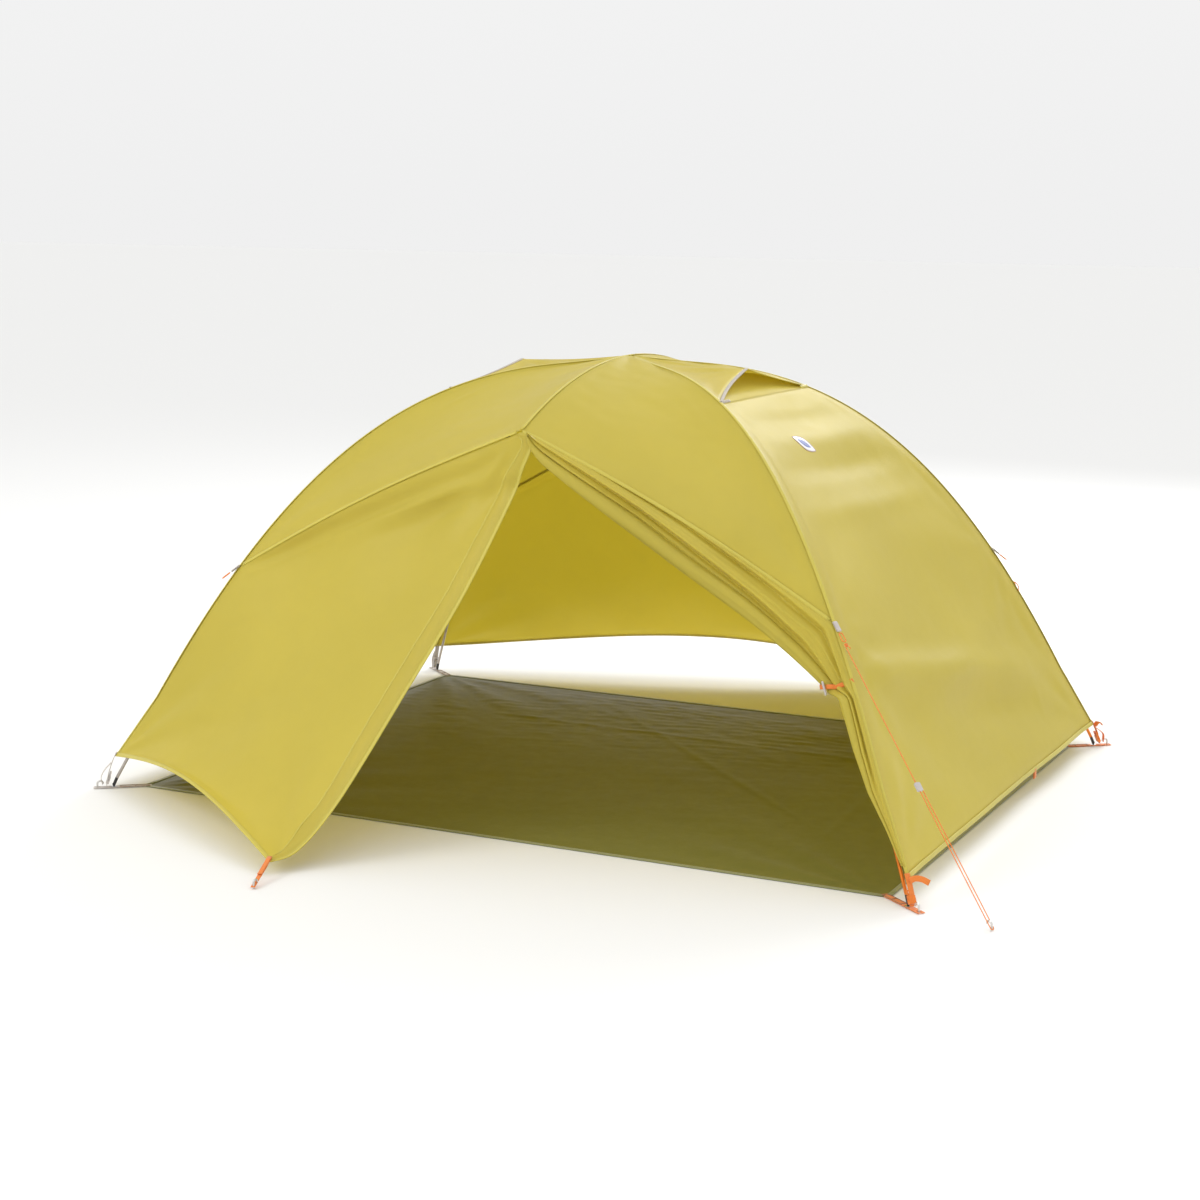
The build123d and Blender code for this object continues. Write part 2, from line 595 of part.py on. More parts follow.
def guyout_plane(sx, sy):
    """Plane at a guyout's root on the leg's seam: Z along the guyout, X level."""
    root = leg_point(GUY_F, sx, sy, FABRIC_STANDOFF + 3)
    out, rise = GUYOUT_HANG
    along = Vector(sx * DIAGONAL.X * out, sy * DIAGONAL.Y * out, rise)
    if (sx, sy) == (1, -1):
        along = Vector(GUY_PEG_X, GUY_PEG_Y, 9) - root
    return Plane(origin=root, x_dir=along.cross(Vector(0, 0, 1)), z_dir=along)


def guyout_tab(sx, sy):
    """Webbing tab sewn into the leg's seam."""
    tab = Pos(0, 0, 1 + GUYOUT_TAB_L / 2) * Box(GUYOUT_TAB_W, 2.4, GUYOUT_TAB_L)
    return guyout_plane(sx, sy) * tab


def guyout_loop(sx, sy):
    """Long cord loop at the tab's end."""
    loop = Pos(0, 0, LOOP_FAR) * Rot(90, 0, 0) * Torus(LOOP_R, LOOP_CORD_R, major_angle=180)
    loop += Pos(0, 0, LOOP_NEAR) * Rot(-90, 0, 0) * Torus(LOOP_R, LOOP_CORD_R, major_angle=180)
    for x in (-LOOP_R, LOOP_R):
        loop += Pos(x, 0, (LOOP_NEAR + LOOP_FAR) / 2) * Cylinder(LOOP_CORD_R, LOOP_FAR - LOOP_NEAR)
    return guyout_plane(sx, sy) * loop


def guyline_points():
    """The taut line: from the loop to the peg, round the peg, and back up to the tensioner."""
    start = (guyout_plane(1, -1) * Pos(0, 0, GUYLINE_FROM)).position
    peg_side = Vector(GUY_PEG_X, GUY_PEG_Y, 9)
    run = (peg_side - start).normalized()
    across = run.cross(Vector(0, 0, 1)).normalized()
    around = PEG_R + CORD_R + 0.8
    far = peg_side + run * (around + 1.6)
    back_end = mix(start, peg_side, TENSIONER_T) - across * around
    return start + across * around, far + across * around, far - across * around, back_end


def guyline():
    start, turn_a, turn_b, back_end = guyline_points()
    return cord_tube([start, turn_a, turn_b, back_end], CORD_R, [PEG_R + CORD_R + 0.7] * 2)


def guyline_direction():
    start, turn_a, _, _ = guyline_points()
    return (turn_a - start).normalized()


def tensioner():
    """Three-hole line runner at the upper end of the doubled cord."""
    start, turn_a, _, back_end = guyline_points()
    run = guyline_direction()
    across = run.cross(Vector(0, 0, 1)).normalized()
    centre = start + run * ((back_end - start).dot(run) - 12)
    plane = Plane(origin=centre, x_dir=across, z_dir=run)
    plate = Pos(-2, 0, 0) * Box(16, 6.5, 24)
    plate = fillet(plate.edges().filter_by(Axis.Y), 3)
    offset = (start - centre).dot(across)
    plate -= Pos(offset, 0, 0) * Cylinder(CORD_R + 0.5, 40)
    plate -= Pos((back_end - centre).dot(across), 0, 0) * Cylinder(CORD_R + 0.5, 60)
    return plane * plate


def tieback(sx, sy):
    """Tie-back loop sewn to the leg's seam, hanging open."""
    frame = leg_frame(TIE_F, sx, sy, FABRIC_STANDOFF + 3)
    return frame * (Pos(0, 0, 8) * Rot(90, 0, 0) * Torus(7, 1.6))


def toggle(frame):
    """Short moulded bar with rounded ends, on the stem that it turns about."""
    bar = Rot(90, 0, 0) * Cylinder(TOGGLE_R, TOGGLE_L)
    for end in (-1, 1):
        bar += Pos(0, end * TOGGLE_L / 2, 0) * Sphere(TOGGLE_R)
    stem = Pos(0, 0, -2.3) * Cylinder(1.5, 4.6)
    return frame * (bar + stem)


def band_frame():
    """Where the used tie-back crosses the rolled door."""
    origin = Vector(*ROLL_END) + Vector(6, 0, -12)
    return Plane(origin=origin, x_dir=(0.86, 0, -0.5), z_dir=(0, -1, 0))


def tieback_band():
    """Elastic band round the rolled door at its tie-back."""
    frame = band_frame()
    outer = Box(14, 62, 46)
    inner = Box(20, 57, 41)
    return frame * (outer - inner)


def hem_tab(sx):
    """Small folded tab under the end wall's hem."""
    return Pos(sx * HEM_X, 270 * sx, HEM_Z[sx] - 15) * Box(3, 20, 24)


def patch():
    """Plain leaf-shaped patch on the right end wall, its tip pointing down the slope."""
    centre, above = seam_point(PATCH_F, 1, -1), seam_point(PATCH_F + 0.02, 1, -1)
    down = Vector(centre.X - above.X, 0, centre.Z - above.Z).normalized()
    normal = Vector(0, 1, 0).cross(down)
    if normal.Z < 0:
        normal = normal * -1
    origin = Vector(centre.X, PATCH_Y, centre.Z) + normal * 2.4
    plane = Plane(origin=origin, x_dir=down + Vector(0, PATCH_SLANT, 0), z_dir=normal)
    half = PATCH_L / 2
    leaf = make_face(Wire([Edge.make_three_point_arc((-half, 0), (0, PATCH_BULGE), (half, 0)),
                           Edge.make_three_point_arc((half, 0), (0, -PATCH_BULGE), (-half, 0))]))
    return extrude(plane * leaf, amount=1.0)


def vest_strap(side):
    """Webbing from the vestibule's hem to its peg."""
    hem = Vector(side * VEST_X, side * VEST_Y, VEST_Z)
    ground = Vector(side * VEST_PEG_X, side * VEST_PEG_Y, 7)
    run = ground - hem
    plane = Plane(origin=hem, x_dir=run, z_dir=Vector(0, side, 2.6))
    strap = Pos(run.length / 2, 0, 0) * Box(run.length - 8, 12, 1.6)
    strap -= Pos(run.length - 14, 0, 0) * Box(14, 7.5, 8)
    return plane * strap


def main():
    os.makedirs("parts", exist_ok=True)
    fly = (0.66, 0.60, 0.22)
    metal, grey, orange = (0.55, 0.53, 0.48), (0.70, 0.66, 0.63), (0.95, 0.42, 0.08)
    dark, olive = (0.12, 0.12, 0.12), (0.24, 0.23, 0.10)

    for name, (sx, sy) in CORNERS.items():
        save(f"leg_{name}", leg_sections(sx, sy)[1:], metal)
    for side, sx in SIDES.items():
        lower = [leg_sections(sx, sy)[0] for sy in (-1, 1)]
        save(f"lower_sections_{side}", lower, grey if sx < 0 else orange)
    sleeves = [s for sx, sy in CORNERS.values() for s in leg_sleeves(sx, sy)] + brow_sleeves()
    save("pole_sleeves", sleeves, metal)
    tips = [pole_tip(sx, sy) for sx, sy in CORNERS.values()] + [brow_tip(side) for side in (-1, 1)]
    save("pole_tips", tips, dark)
    save("brow_pole", brow_sections(), metal)
    save("shock_cords", shock_cords(), dark)
    body, cap, screws = hub()
    save("hub_body", [body], dark)
    save("hub_cap", [cap], dark)
    save("hub_screws", screws, metal)

    for name, (sx, sy) in CORNERS.items():
        save(f"fly_roof_{name}", [side_panel(sx, sy)], fly)
    for side, sx in SIDES.items():
        save(f"fly_end_{side}", [end_panel(sx)], fly)
        save(f"vent_hood_{side}", hood(sx), fly)
    save("vent_mesh", [vent_mesh(sx) for sx in SIDES.values()], dark)
    save("door_front_left", [vestibule_front()], fly)
    wide, narrow = back_door_halves()
    save("door_back_left", [wide], fly)
    save("door_back_right", [narrow], fly)
    save("storm_flaps", [storm_flap_front(), storm_flap_back()], fly)
    save("rolled_door", [rolled_door(), rolled_tail()], fly)

    front, back = zip_frame_front(), zip_frame_back()
    save("zip_tapes", [zip_tape(*front, Vector(0, -1, 0.4)), zip_tape(*back, Vector(0, 1, 0.4))], olive)
    save("zip_slider_front", [zip_slider(*front, Vector(0, -1, 0.4), SLIDER_START)], dark)
    back_length = (back[1] - back[0]).length
    save("zip_slider_back", [zip_slider(*back, Vector(0, 1, 0.4), back_length - SLIDER_START - 8)], dark)

    save("footprint", [footprint()], olive)
    for side, sx in SIDES.items():
        colour = grey if sx < 0 else orange
        ends = (-1, 1)
        webbing = [corner_tab(sx, sy) for sy in ends] + [socket_webbing(sx, sy) for sy in ends]
        save(f"corner_tabs_{side}", webbing, colour)
        save(f"fly_straps_{side}", [s for sy in ends for s in fly_strap(sx, sy)], colour)
        save(f"buckle_sockets_{side}", [buckle_socket(sx, sy) for sy in ends], colour)
    save("grommets", [grommet(sx, sy) for sx, sy in CORNERS.values()], metal)
    for name, (sx, sy) in CORNERS.items():
        save(f"buckle_clip_{name}", [buckle_clip(sx, sy)], grey if sx < 0 else orange)
        place = Vector(sx * TIP_X, sy * TIP_Y, 0) + Vector(sx * DIAGONAL.X, sy * DIAGONAL.Y, 0) * PEG_U
        save(f"peg_{name}", [peg(place.X, place.Y, turn_of(sx, sy))], grey)
    save("peg_vestibule_front", [peg(-VEST_PEG_X, -VEST_PEG_Y, -90)], grey)
    save("peg_vestibule_back", [peg(VEST_PEG_X, VEST_PEG_Y, 90)], grey)
    guy_run = guyline_direction()
    guy_turn = Vector(1, 0, 0).get_signed_angle(Vector(guy_run.X, guy_run.Y, 0), Vector(0, 0, 1))
    save("peg_guyline", [peg(GUY_PEG_X, GUY_PEG_Y, guy_turn)], grey)
    save("vestibule_straps", [vest_strap(side) for side in (-1, 1)], orange)

    save("guyout_tabs", [guyout_tab(sx, sy) for sx, sy in CORNERS.values()], grey)
    save("guyout_loops", [guyout_loop(sx, sy) for sx, sy in CORNERS.values()], orange)
    save("guyline", [guyline()], orange)
    save("line_tensioner", [tensioner()], grey)
    loops = [tieback(sx, sy) for sx, sy in CORNERS.values() if (sx, sy) != (1, -1)]
    save("tieback_loops", loops + [tieback_band()], orange)
    save("tieback_toggle", [toggle(band_frame() * Pos(0, 0, 28) * Rot(0, 0, TOGGLE_TURN))], grey)
    save("hem_tabs", [hem_tab(sx) for sx in SIDES.values()], orange)
    save("patch", [patch()], (0.85, 0.85, 0.85))


main()
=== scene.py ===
"""Looks of a dome tent on crossed poles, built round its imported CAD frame.

Metres; +X is the orange end, -Y the open door and +Z up."""

from math import cos, hypot, pi, radians, sin

import bmesh
import bpy
import numpy as np
from mathutils import Matrix, Vector


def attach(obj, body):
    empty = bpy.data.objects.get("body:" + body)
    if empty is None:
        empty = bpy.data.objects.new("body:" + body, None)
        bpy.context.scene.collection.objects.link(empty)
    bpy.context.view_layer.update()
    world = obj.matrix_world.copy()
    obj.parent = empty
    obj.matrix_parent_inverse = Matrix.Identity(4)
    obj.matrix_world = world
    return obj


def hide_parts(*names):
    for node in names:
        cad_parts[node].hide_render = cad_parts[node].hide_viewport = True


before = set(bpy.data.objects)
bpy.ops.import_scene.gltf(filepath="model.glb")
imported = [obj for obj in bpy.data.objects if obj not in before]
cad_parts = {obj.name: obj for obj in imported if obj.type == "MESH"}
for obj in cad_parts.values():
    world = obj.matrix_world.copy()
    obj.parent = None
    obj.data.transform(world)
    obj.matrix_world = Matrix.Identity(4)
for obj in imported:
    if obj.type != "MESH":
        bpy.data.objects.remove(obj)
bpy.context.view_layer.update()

# ------------ driving dimensions
TIP_X, TIP_Y, TIP_Z = 1.207, 0.940, 0.015    # where each pole stands
CROWN_Z = 1.222                              # pole centreline at the hub
ARCH_POWER, ARCH_ROUND = 2.7, 1.07
BROW_Y, BROW_END_Z, BROW_TOP_Z = 0.690, 1.078, 1.240
STANDOFF = 0.0105                            # cloth outside the pole's centreline
CROWN_LIFT, CROWN_F = 0.016, 0.85            # the cloth rises over the hub from this station on
VENT_F, GUY_F, TIE_F = 0.647, 0.249, 0.201   # stations along a leg: its tip is 0 and the hub 1
HEM_F = 0.045                                # station where the hem crosses the leg
HEM_X, HEM_Y = 1.203, 0.932
HEM_Z = {-1: 0.094, 1: 0.072}                # height of the fly's corners at the left and the right end
VENT_PEAK = (0.366, 1.224)                   # x and z
HUB_F = 0.995                                # last station of the cloth, just beside the hub
VEST = (0.320, 1.450, 0.045)                 # where the vestibule's hem meets its peg strap
VEST_PEG = (0.292, 1.560, 0.008)
CLOTH_T = 0.0007
CORNERS = {"front_left": (-1, -1), "front_right": (1, -1), "back_left": (-1, 1), "back_right": (1, 1)}
HALF_SPAN = hypot(TIP_X, TIP_Y)
DIAG = np.array([TIP_X, TIP_Y, 0.0]) / HALF_SPAN
UP = np.array([0.0, 0.0, 1.0])


# ------------ shared curves
def vec(*p):
    return np.array(p, float)


def unit(v):
    v = np.asarray(v, float)
    return v / max(np.linalg.norm(v), 1e-12)


def mix(a, b, t):
    return a + (b - a) * t


def smooth(t):
    t = np.clip(t, 0.0, 1.0)
    return t * t * (3 - 2 * t)


def stations(lo, hi, count):
    return [lo + (hi - lo) * k / (count - 1) for k in range(count)]


def leg_z(f):
    """Height of a pole's centreline at station f, 0 at its tip and 1 at the hub."""
    return TIP_Z + (CROWN_Z - TIP_Z) * (1 - (1 - f) ** ARCH_POWER) ** ARCH_ROUND


def outwards(sx, sy):
    """Level direction from the hub to a leg's tip."""
    return vec(sx * DIAG[0], sy * DIAG[1], 0)


def leg_point(f, sx, sy, stand=0.0):
    """A point on a leg, moved outwards from its centreline by stand."""
    lo, hi = max(f - 0.004, 0.0), min(f + 0.004, 1.0)
    run, rise = (hi - lo) * HALF_SPAN, leg_z(hi) - leg_z(lo)
    length = hypot(run, rise)
    out = (1 - f) * HALF_SPAN + stand * rise / length
    return outwards(sx, sy) * out + UP * (leg_z(f) + stand * run / length)


def hem_corner(sx, sy):
    return vec(sx * HEM_X, sy * HEM_Y, HEM_Z[sx])


def seam_point(f, sx, sy, extra=0.0):
    """The fly's seam over a leg: f runs from 0 at the hem's corner to 1 at the hub."""
    if f < 2 * HEM_F:
        return mix(hem_corner(sx, sy), leg_point(2 * HEM_F, sx, sy, STANDOFF + extra), f / (2 * HEM_F))
    lift = CROWN_LIFT * max(0.0, (f - CROWN_F) / (1 - CROWN_F)) ** 2
    return leg_point(f, sx, sy, STANDOFF + lift + extra)


def brow_point(t, side, stand=0.0):
    """The brow pole: t = 0 over the hub and 1 at the door's apex on that side."""
    rise = BROW_TOP_Z - BROW_END_Z
    radius = (BROW_Y ** 2 + rise ** 2) / (2 * rise)
    y = BROW_Y * t
    grow = 1 + stand / radius
    return vec(0, side * y * grow, BROW_TOP_Z - radius + (radius ** 2 - y ** 2) ** 0.5 * grow)


APEX = {side: brow_point(1.0, side, STANDOFF) for side in (-1, 1)}
DOOR_BOW = 0.022                             # how far a door's upper seam bows upwards


def door_seam(t, sx, side):
    """Upper seam of a door, from its apex (0) to the leg (1), bowed a little upwards."""
    a, b = APEX[side], seam_point(GUY_F, sx, side)
    bow = unit(np.cross(b - a, vec(0, 1, 0)))
    bow = bow * (1 if bow[2] > 0 else -1)
    return mix(a, b, t) + bow * DOOR_BOW * sin(pi * t)


# ------------ mesh helpers
def link(name, data):
    obj = bpy.data.objects.new(name, data)
    bpy.context.scene.collection.objects.link(obj)
    return obj


def mesh_object(name, bm, material):
    mesh = bpy.data.meshes.new(name)
    bm.to_mesh(mesh)
    bm.free()
    mesh.materials.append(material)
    return link(name, mesh)


def units(v):
    """An array of vectors, each made one long."""
    return v / np.maximum(np.linalg.norm(v, axis=-1, keepdims=True), 1e-9)


def turned(grid, away):
    """The grid's normals, and 1 if they point to the side of away or else -1."""
    n = units(np.cross(np.gradient(grid, axis=0), np.gradient(grid, axis=1)))
    return n, 1 if float((n * np.asarray(away)).sum(axis=2).mean()) > 0 else -1


def facing(grid, away):
    """The grid's normals, turned to the side of away."""
    n, turn = turned(grid, away)
    return n * turn


def shares_of(grid):
    """Shares 0..1 down the grid's rows and across its columns, ready to multiply with it."""
    rows, cols = grid.shape[:2]
    return np.linspace(0, 1, rows)[:, None, None], np.linspace(0, 1, cols)[None, :, None]


def coons(bottom, top, left, right, rows, cols):
    """Grid over four boundary curves, each a function of 0..1; bottom and top run from left to right."""
    b, t = (np.array([line(x) for x in np.linspace(0, 1, cols)]) for line in (bottom, top))
    lf, rt = (np.array([line(x) for x in np.linspace(0, 1, rows)])[:, None] for line in (left, right))
    u, v = np.linspace(0, 1, cols)[:, None], np.linspace(0, 1, rows)[:, None, None]
    corners = (1 - u) * (1 - v) * b[0] + u * (1 - v) * b[-1] + (1 - u) * v * t[0] + u * v * t[-1]
    return (1 - v) * b + v * t + (1 - u) * lf + u * rt - corners


def bowed_rows(rows, count, lo=0.0, hi=1.0):
    """Grid of (start, end, bow) rows, each straight but for a bow that is widest half way."""
    return np.array([[mix(a, b, s) + bow * sin(pi * s) for s in np.linspace(lo, hi, count)]
                     for a, b, bow in rows])


def edge_fade(grid, reach=0.12):
    """0 on the grid's border, rising to 1 inside."""
    v, u = shares_of(grid)
    return smooth(np.minimum(v, 1 - v) / reach) * smooth(np.minimum(u, 1 - u) / reach)


def belly(grid, power=1.0):
    """0 on the grid's border and 1 in its middle."""
    v, u = shares_of(grid)
    return (4 * v * (1 - v)) ** power * (4 * u * (1 - u)) ** power


def crease(grid, start, end, width, height):
    """A fold line from start to end: a soft ridge (or valley) that fades towards both ends."""
    a, b = vec(*start), vec(*end)
    ab = b - a
    t = ((grid - a) @ ab) / (ab @ ab)
    gap = np.linalg.norm(grid - (a + np.clip(t, 0, 1)[..., None] * ab), axis=2)
    fade = np.sin(pi * np.clip(t, 0, 1)) ** 0.6
    return (height * np.exp(-(gap / width) ** 2) * fade)[..., None]


def creases(grid, a, b, *lines):
    """Fold lines beside the line from a to b: each starts and ends at a share of it, moved by a shift."""
    return sum(crease(grid, mix(a, b, start) + np.array(moved), mix(a, b, end) + np.array(end_moved), *size)
               for start, moved, end, end_moved, *size in lines)


PUCKER = 1.55                                # strength of the folds where the cloth is pulled


def fan(grid, normal, centre, toward, count, reach, height, spread=1.2):
    """Tension folds that run out from a point where the cloth is pulled."""
    along = unit(toward - centre)
    across = np.cross(unit(normal), along)
    d = grid - centre
    x, y = d @ along, d @ across
    r, angle = np.hypot(x, y), np.arctan2(y, x)
    swell = (r / reach) * np.exp(1 - r / reach) * np.exp(-(angle / spread) ** 2)
    return (PUCKER * height * np.cos(count * angle) * swell)[..., None]


def fans(grid, away, *pulls):
    """Several fans together, each as (centre, toward, count, reach, height, spread)."""
    return sum(fan(grid, away, *pull) for pull in pulls)


RIPPLE_WAVES = 14


def ripple(grid, scale, height, seed):
    """Smooth uneven waviness of the cloth, the same in every run."""
    rng = np.random.default_rng(seed)
    total = np.zeros(grid.shape[:2])
    for _ in range(RIPPLE_WAVES):
        wave = unit(rng.normal(size=3)) * (2 * pi / scale) * rng.uniform(0.6, 1.5)
        total += np.sin(grid @ wave + rng.uniform(0, 2 * pi))
    return (height * total / RIPPLE_WAVES ** 0.5)[..., None]


def ripples(grid, *waves):
    """Several ripples together, each as (scale, height, seed)."""
    return sum(ripple(grid, *wave) for wave in waves)


def line_lengths(line):
    """Distance from a line's start to each of its points."""
    return np.concatenate([[0], np.cumsum(np.linalg.norm(np.diff(line, axis=0), axis=1))])


def point_at(at, values, s):
    """The vector at distance s, where at holds the distances of the vectors in values."""
    return np.array([np.interp(s, at, values[:, k]) for k in range(3)])


def along_line(line, t):
    """The point at share t of a line's length."""
    at = line_lengths(line)
    return point_at(at, line, t * at[-1])


def along_table(table, t):
    return float(np.interp(t, [a for a, _ in table], [b for _, b in table]))


def arc_lengths(grid, axis):
    pad = [(0, 0), (0, 0)]
    pad[axis] = (1, 0)
    return np.pad(np.cumsum(np.linalg.norm(np.diff(grid, axis=axis), axis=2), axis=axis), pad)


def add_grid(bm, uv_layer, grid, flip=False, closed=False):
    """Adds a grid of quads, with UVs in metres along its rows and columns."""
    rows, cols = grid.shape[:2]
    us, vs = arc_lengths(grid, 1), arc_lengths(grid, 0)
    verts = [[bm.verts.new(grid[i, j]) for j in range(cols)] for i in range(rows)]
    for i in range(rows - 1):
        for j in range(cols - 1 + closed):
            k = (j + 1) % cols
            place = [(i, j), (i, k), (i + 1, k), (i + 1, j)]
            if flip:
                place.reverse()
            corners = [verts[a][b] for a, b in place]
            if len({tuple(c.co) for c in corners}) < 4:
                continue
            face = bm.faces.new(corners)
            face.smooth = True
            for loop, (a, b) in zip(face.loops, place):
                loop[uv_layer].uv = (us[a, b], vs[a, b])
    return verts


def sheet_object(name, parts, look, thickness=CLOTH_T, weld=0.0004):
    """One continuous sheet from (grid, away) pairs that share their borders, with a cloth's thickness."""
    bm = bmesh.new()
    uv_layer = bm.loops.layers.uv.new("cut")
    for grid, away in parts:
        add_grid(bm, uv_layer, grid, flip=turned(grid, away)[1] > 0)
    bmesh.ops.remove_doubles(bm, verts=bm.verts, dist=weld)
    bmesh.ops.dissolve_degenerate(bm, edges=bm.edges, dist=1e-5)
    obj = mesh_object(name, bm, MAT[look])
    thick = obj.modifiers.new("thickness", "SOLIDIFY")
    thick.thickness = thickness
    thick.offset = 0.0
    return obj


def flat_area(parts):
    total = 0.0
    for grid, _ in parts:
        d1, d2 = grid[1:, 1:] - grid[:-1, :-1], grid[1:, :-1] - grid[:-1, 1:]
        total += float(np.linalg.norm(np.cross(d1, d2), axis=2).sum()) / 2
    return total


def smooth_line(points, steps=8):
    """Catmull-Rom line through points, as an array."""
    p = [vec(*q) for q in points]
    p = [2 * p[0] - p[1]] + p + [2 * p[-1] - p[-2]]
    out = []
    for a, b, c, d in zip(p, p[1:], p[2:], p[3:]):
        for t in (k / steps for k in range(steps)):
            out.append(0.5 * (2 * b + (c - a) * t + (2 * a - 5 * b + 4 * c - d) * t * t
                              + (3 * b - a - 3 * c + d) * t ** 3))
    return np.array(out + [p[-2]])


def sweep_profile(bm, uv_layer, path, normals, profile):
    """A closed profile [(across, up), ...] swept along path; normals point up from it."""
    along = units(np.gradient(path, axis=0))
    across = units(np.cross(along, normals))
    up = np.cross(across, along)
    grid = np.stack([path + across * a + up * b for a, b in profile], axis=1)
    verts = add_grid(bm, uv_layer, grid, flip=True, closed=True)
    bm.faces.new(verts[0])
    bm.faces.new(verts[-1][::-1])


def band_profile(width, thick, crown=0.0):
    """Cross-section of webbing: flat underside, softly rounded edges."""
    h, t = width / 2, thick / 2
    return [(-h, 0), (-h * 0.94, -t), (0, -t), (h * 0.94, -t), (h, 0), (h * 0.94, t),
            (h * 0.5, t + crown), (0, t + crown * 1.2), (-h * 0.5, t + crown), (-h * 0.94, t)]


def round_profile(radius, sides=10):
    return [(radius * cos(2 * pi * k / sides), radius * sin(2 * pi * k / sides)) for k in range(sides)]


def strips_object(name, strips, look):
    """One piece from (path, normals, profile) strips."""
    bm = bmesh.new()
    uv_layer = bm.loops.layers.uv.new("cut")
    for path, normals, profile in strips:
        path = np.asarray(path, float)
        sweep_profile(bm, uv_layer, path, np.broadcast_to(np.asarray(normals, float), path.shape), profile)
    bmesh.ops.recalc_face_normals(bm, faces=bm.faces)
    return mesh_object(name, bm, MAT[look])


def tent_piece(obj, slot, *nodes):
    """The piece rides on the tent and stands for these CAD nodes, which are hidden; the slot is not used."""
    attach(obj, "tent")
    if nodes:
        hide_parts(*nodes)
    return obj


# ------------ materials
def shade(rgb, k):
    """The colour made darker or brighter, with its alpha."""
    return (*(c * k for c in rgb[:3]), 1.0)


class Nodes:
    """Short way to build one material's nodes."""

    def __init__(self, name):
        self.mat = bpy.data.materials.new(name)
        self.mat.use_nodes = True
        self.tree = self.mat.node_tree
        self.tree.nodes.clear()
        self.out = self.add("ShaderNodeOutputMaterial")
        self.place = self.add("ShaderNodeTexCoord").outputs["Object"]    # metres, in the piece's own frame

    def add(self, kind, links=None, **settings):
        node = self.tree.nodes.new(kind)
        for key, value in settings.items():
            setattr(node, key, value)
        for key, value in (links or {}).items():
            if isinstance(value, bpy.types.NodeSocket):
                self.tree.links.new(value, node.inputs[key])
            else:
                node.inputs[key].default_value = value
        return node

    def cut(self):
        """Place on the flat cloth, in metres."""
        return self.add("ShaderNodeUVMap", uv_map="cut").outputs[0]

    def math(self, operation, a, b=0.0):
        return self.add("ShaderNodeMath", {0: a, 1: b}, operation=operation).outputs[0]

    def noise(self, scale, detail=3.0, rough=0.5):
        return self.add("ShaderNodeTexNoise", {"Vector": self.place, "Scale": scale, "Detail": detail,
                                               "Roughness": rough}).outputs["Fac"]

    def blend(self, amount, a, b):
        return self.add("ShaderNodeMix", {0: amount, 6: a, 7: b}, data_type="RGBA").outputs[2]

    def ramp(self, value, low, high):
        return self.add("ShaderNodeMapRange", {"Value": value, "From Min": low, "From Max": high}).outputs[0]

    def tones(self, value, low, high, rgb, dark, light):
        """The colour between two shades of it, as value goes from low to high."""
        return self.blend(self.ramp(value, low, high), shade(rgb, dark), shade(rgb, light))

    def wave(self, value, half):
        """Sine wave along value; half is the length of half a wave."""
        return self.math("SINE", self.math("MULTIPLY", value, pi / half))

    def weave(self, uv, thread):
        """Plain weave: warp and weft threads that go over and under each other."""
        warp, weft = self.add("ShaderNodeSeparateXYZ", {0: uv}).outputs[:2]
        return self.math("MULTIPLY", self.wave(warp, thread), self.wave(weft, thread))

    def uneven(self, rough, fine, spread):
        """Roughness that varies a little with a noise."""
        return self.math("ADD", rough, self.math("MULTIPLY", fine, spread))

    def bump(self, height, strength, distance, **normal):
        links = {"Height": height, "Strength": strength, "Distance": distance, **normal}
        return self.add("ShaderNodeBump", links).outputs["Normal"]

    def principled(self, base, rough, normal, **more):
        """Principled shader; the names in more have _ for a space."""
        links = {"Base Color": base, "Roughness": rough, "Normal": normal}
        links.update({key.replace("_", " "): value for key, value in more.items()})
        return self.add("ShaderNodeBsdfPrincipled", links).outputs[0]

    def done(self, shader):
        self.tree.links.new(shader, self.out.inputs[0])
        return self.mat


THROUGH_TINT = (1.16, 1.20, 1.75)            # light that comes through the coated cloth, times its colour


def cloth_material(name, rgb, glow=0.0, sheen=0.15, rough=0.40, thread=0.0011):
    """Coated nylon: woven, slightly crinkled, satin, letting some light through."""
    n = Nodes(name)
    patchy, fine, crinkle = n.noise(2.2, 2.0), n.noise(26.0, 4.0, 0.6), n.noise(9.0, 6.0, 0.62)
    worn = n.math("MULTIPLY", n.ramp(fine, 0.45, 0.8), 0.18)
    base = n.blend(worn, n.tones(patchy, 0.3, 0.7, rgb, 0.955, 1.03), shade(rgb, 0.86))
    normal = n.bump(n.weave(n.cut(), thread), 0.12, 0.00025, Normal=n.bump(crinkle, 0.26, 0.004))
    shown = n.principled(base, n.uneven(rough - 0.05, fine, 0.12), normal, Sheen_Weight=sheen,
                         Sheen_Roughness=0.35, Specular_IOR_Level=0.45, IOR=1.5)
    if glow:
        tint = (*(c * k for c, k in zip(rgb, THROUGH_TINT)), 1.0)
        through = n.add("ShaderNodeBsdfTranslucent", {"Color": tint, "Normal": normal}).outputs[0]
        shown = n.add("ShaderNodeMixShader", {0: glow, 1: shown, 2: through}).outputs[0]
    return n.done(shown)


def webbing_material(name, rgb, rib=0.0016, solid=False):
    """Woven narrow webbing: crossed ribs and grime. A solid piece has no cut, so it uses its place."""
    n = Nodes(name)
    weave = n.weave(n.place if solid else n.cut(), rib)
    grime = n.math("MULTIPLY", n.ramp(n.noise(60.0, 4.0, 0.6), 0.5, 0.85), 0.3)
    base = n.blend(grime, n.tones(weave, -1.0, 1.0, rgb, 0.72, 1.06), shade(rgb, 0.55))
    return n.done(n.principled(base, 0.62, n.bump(weave, 0.5, 0.0004), Sheen_Weight=0.25))


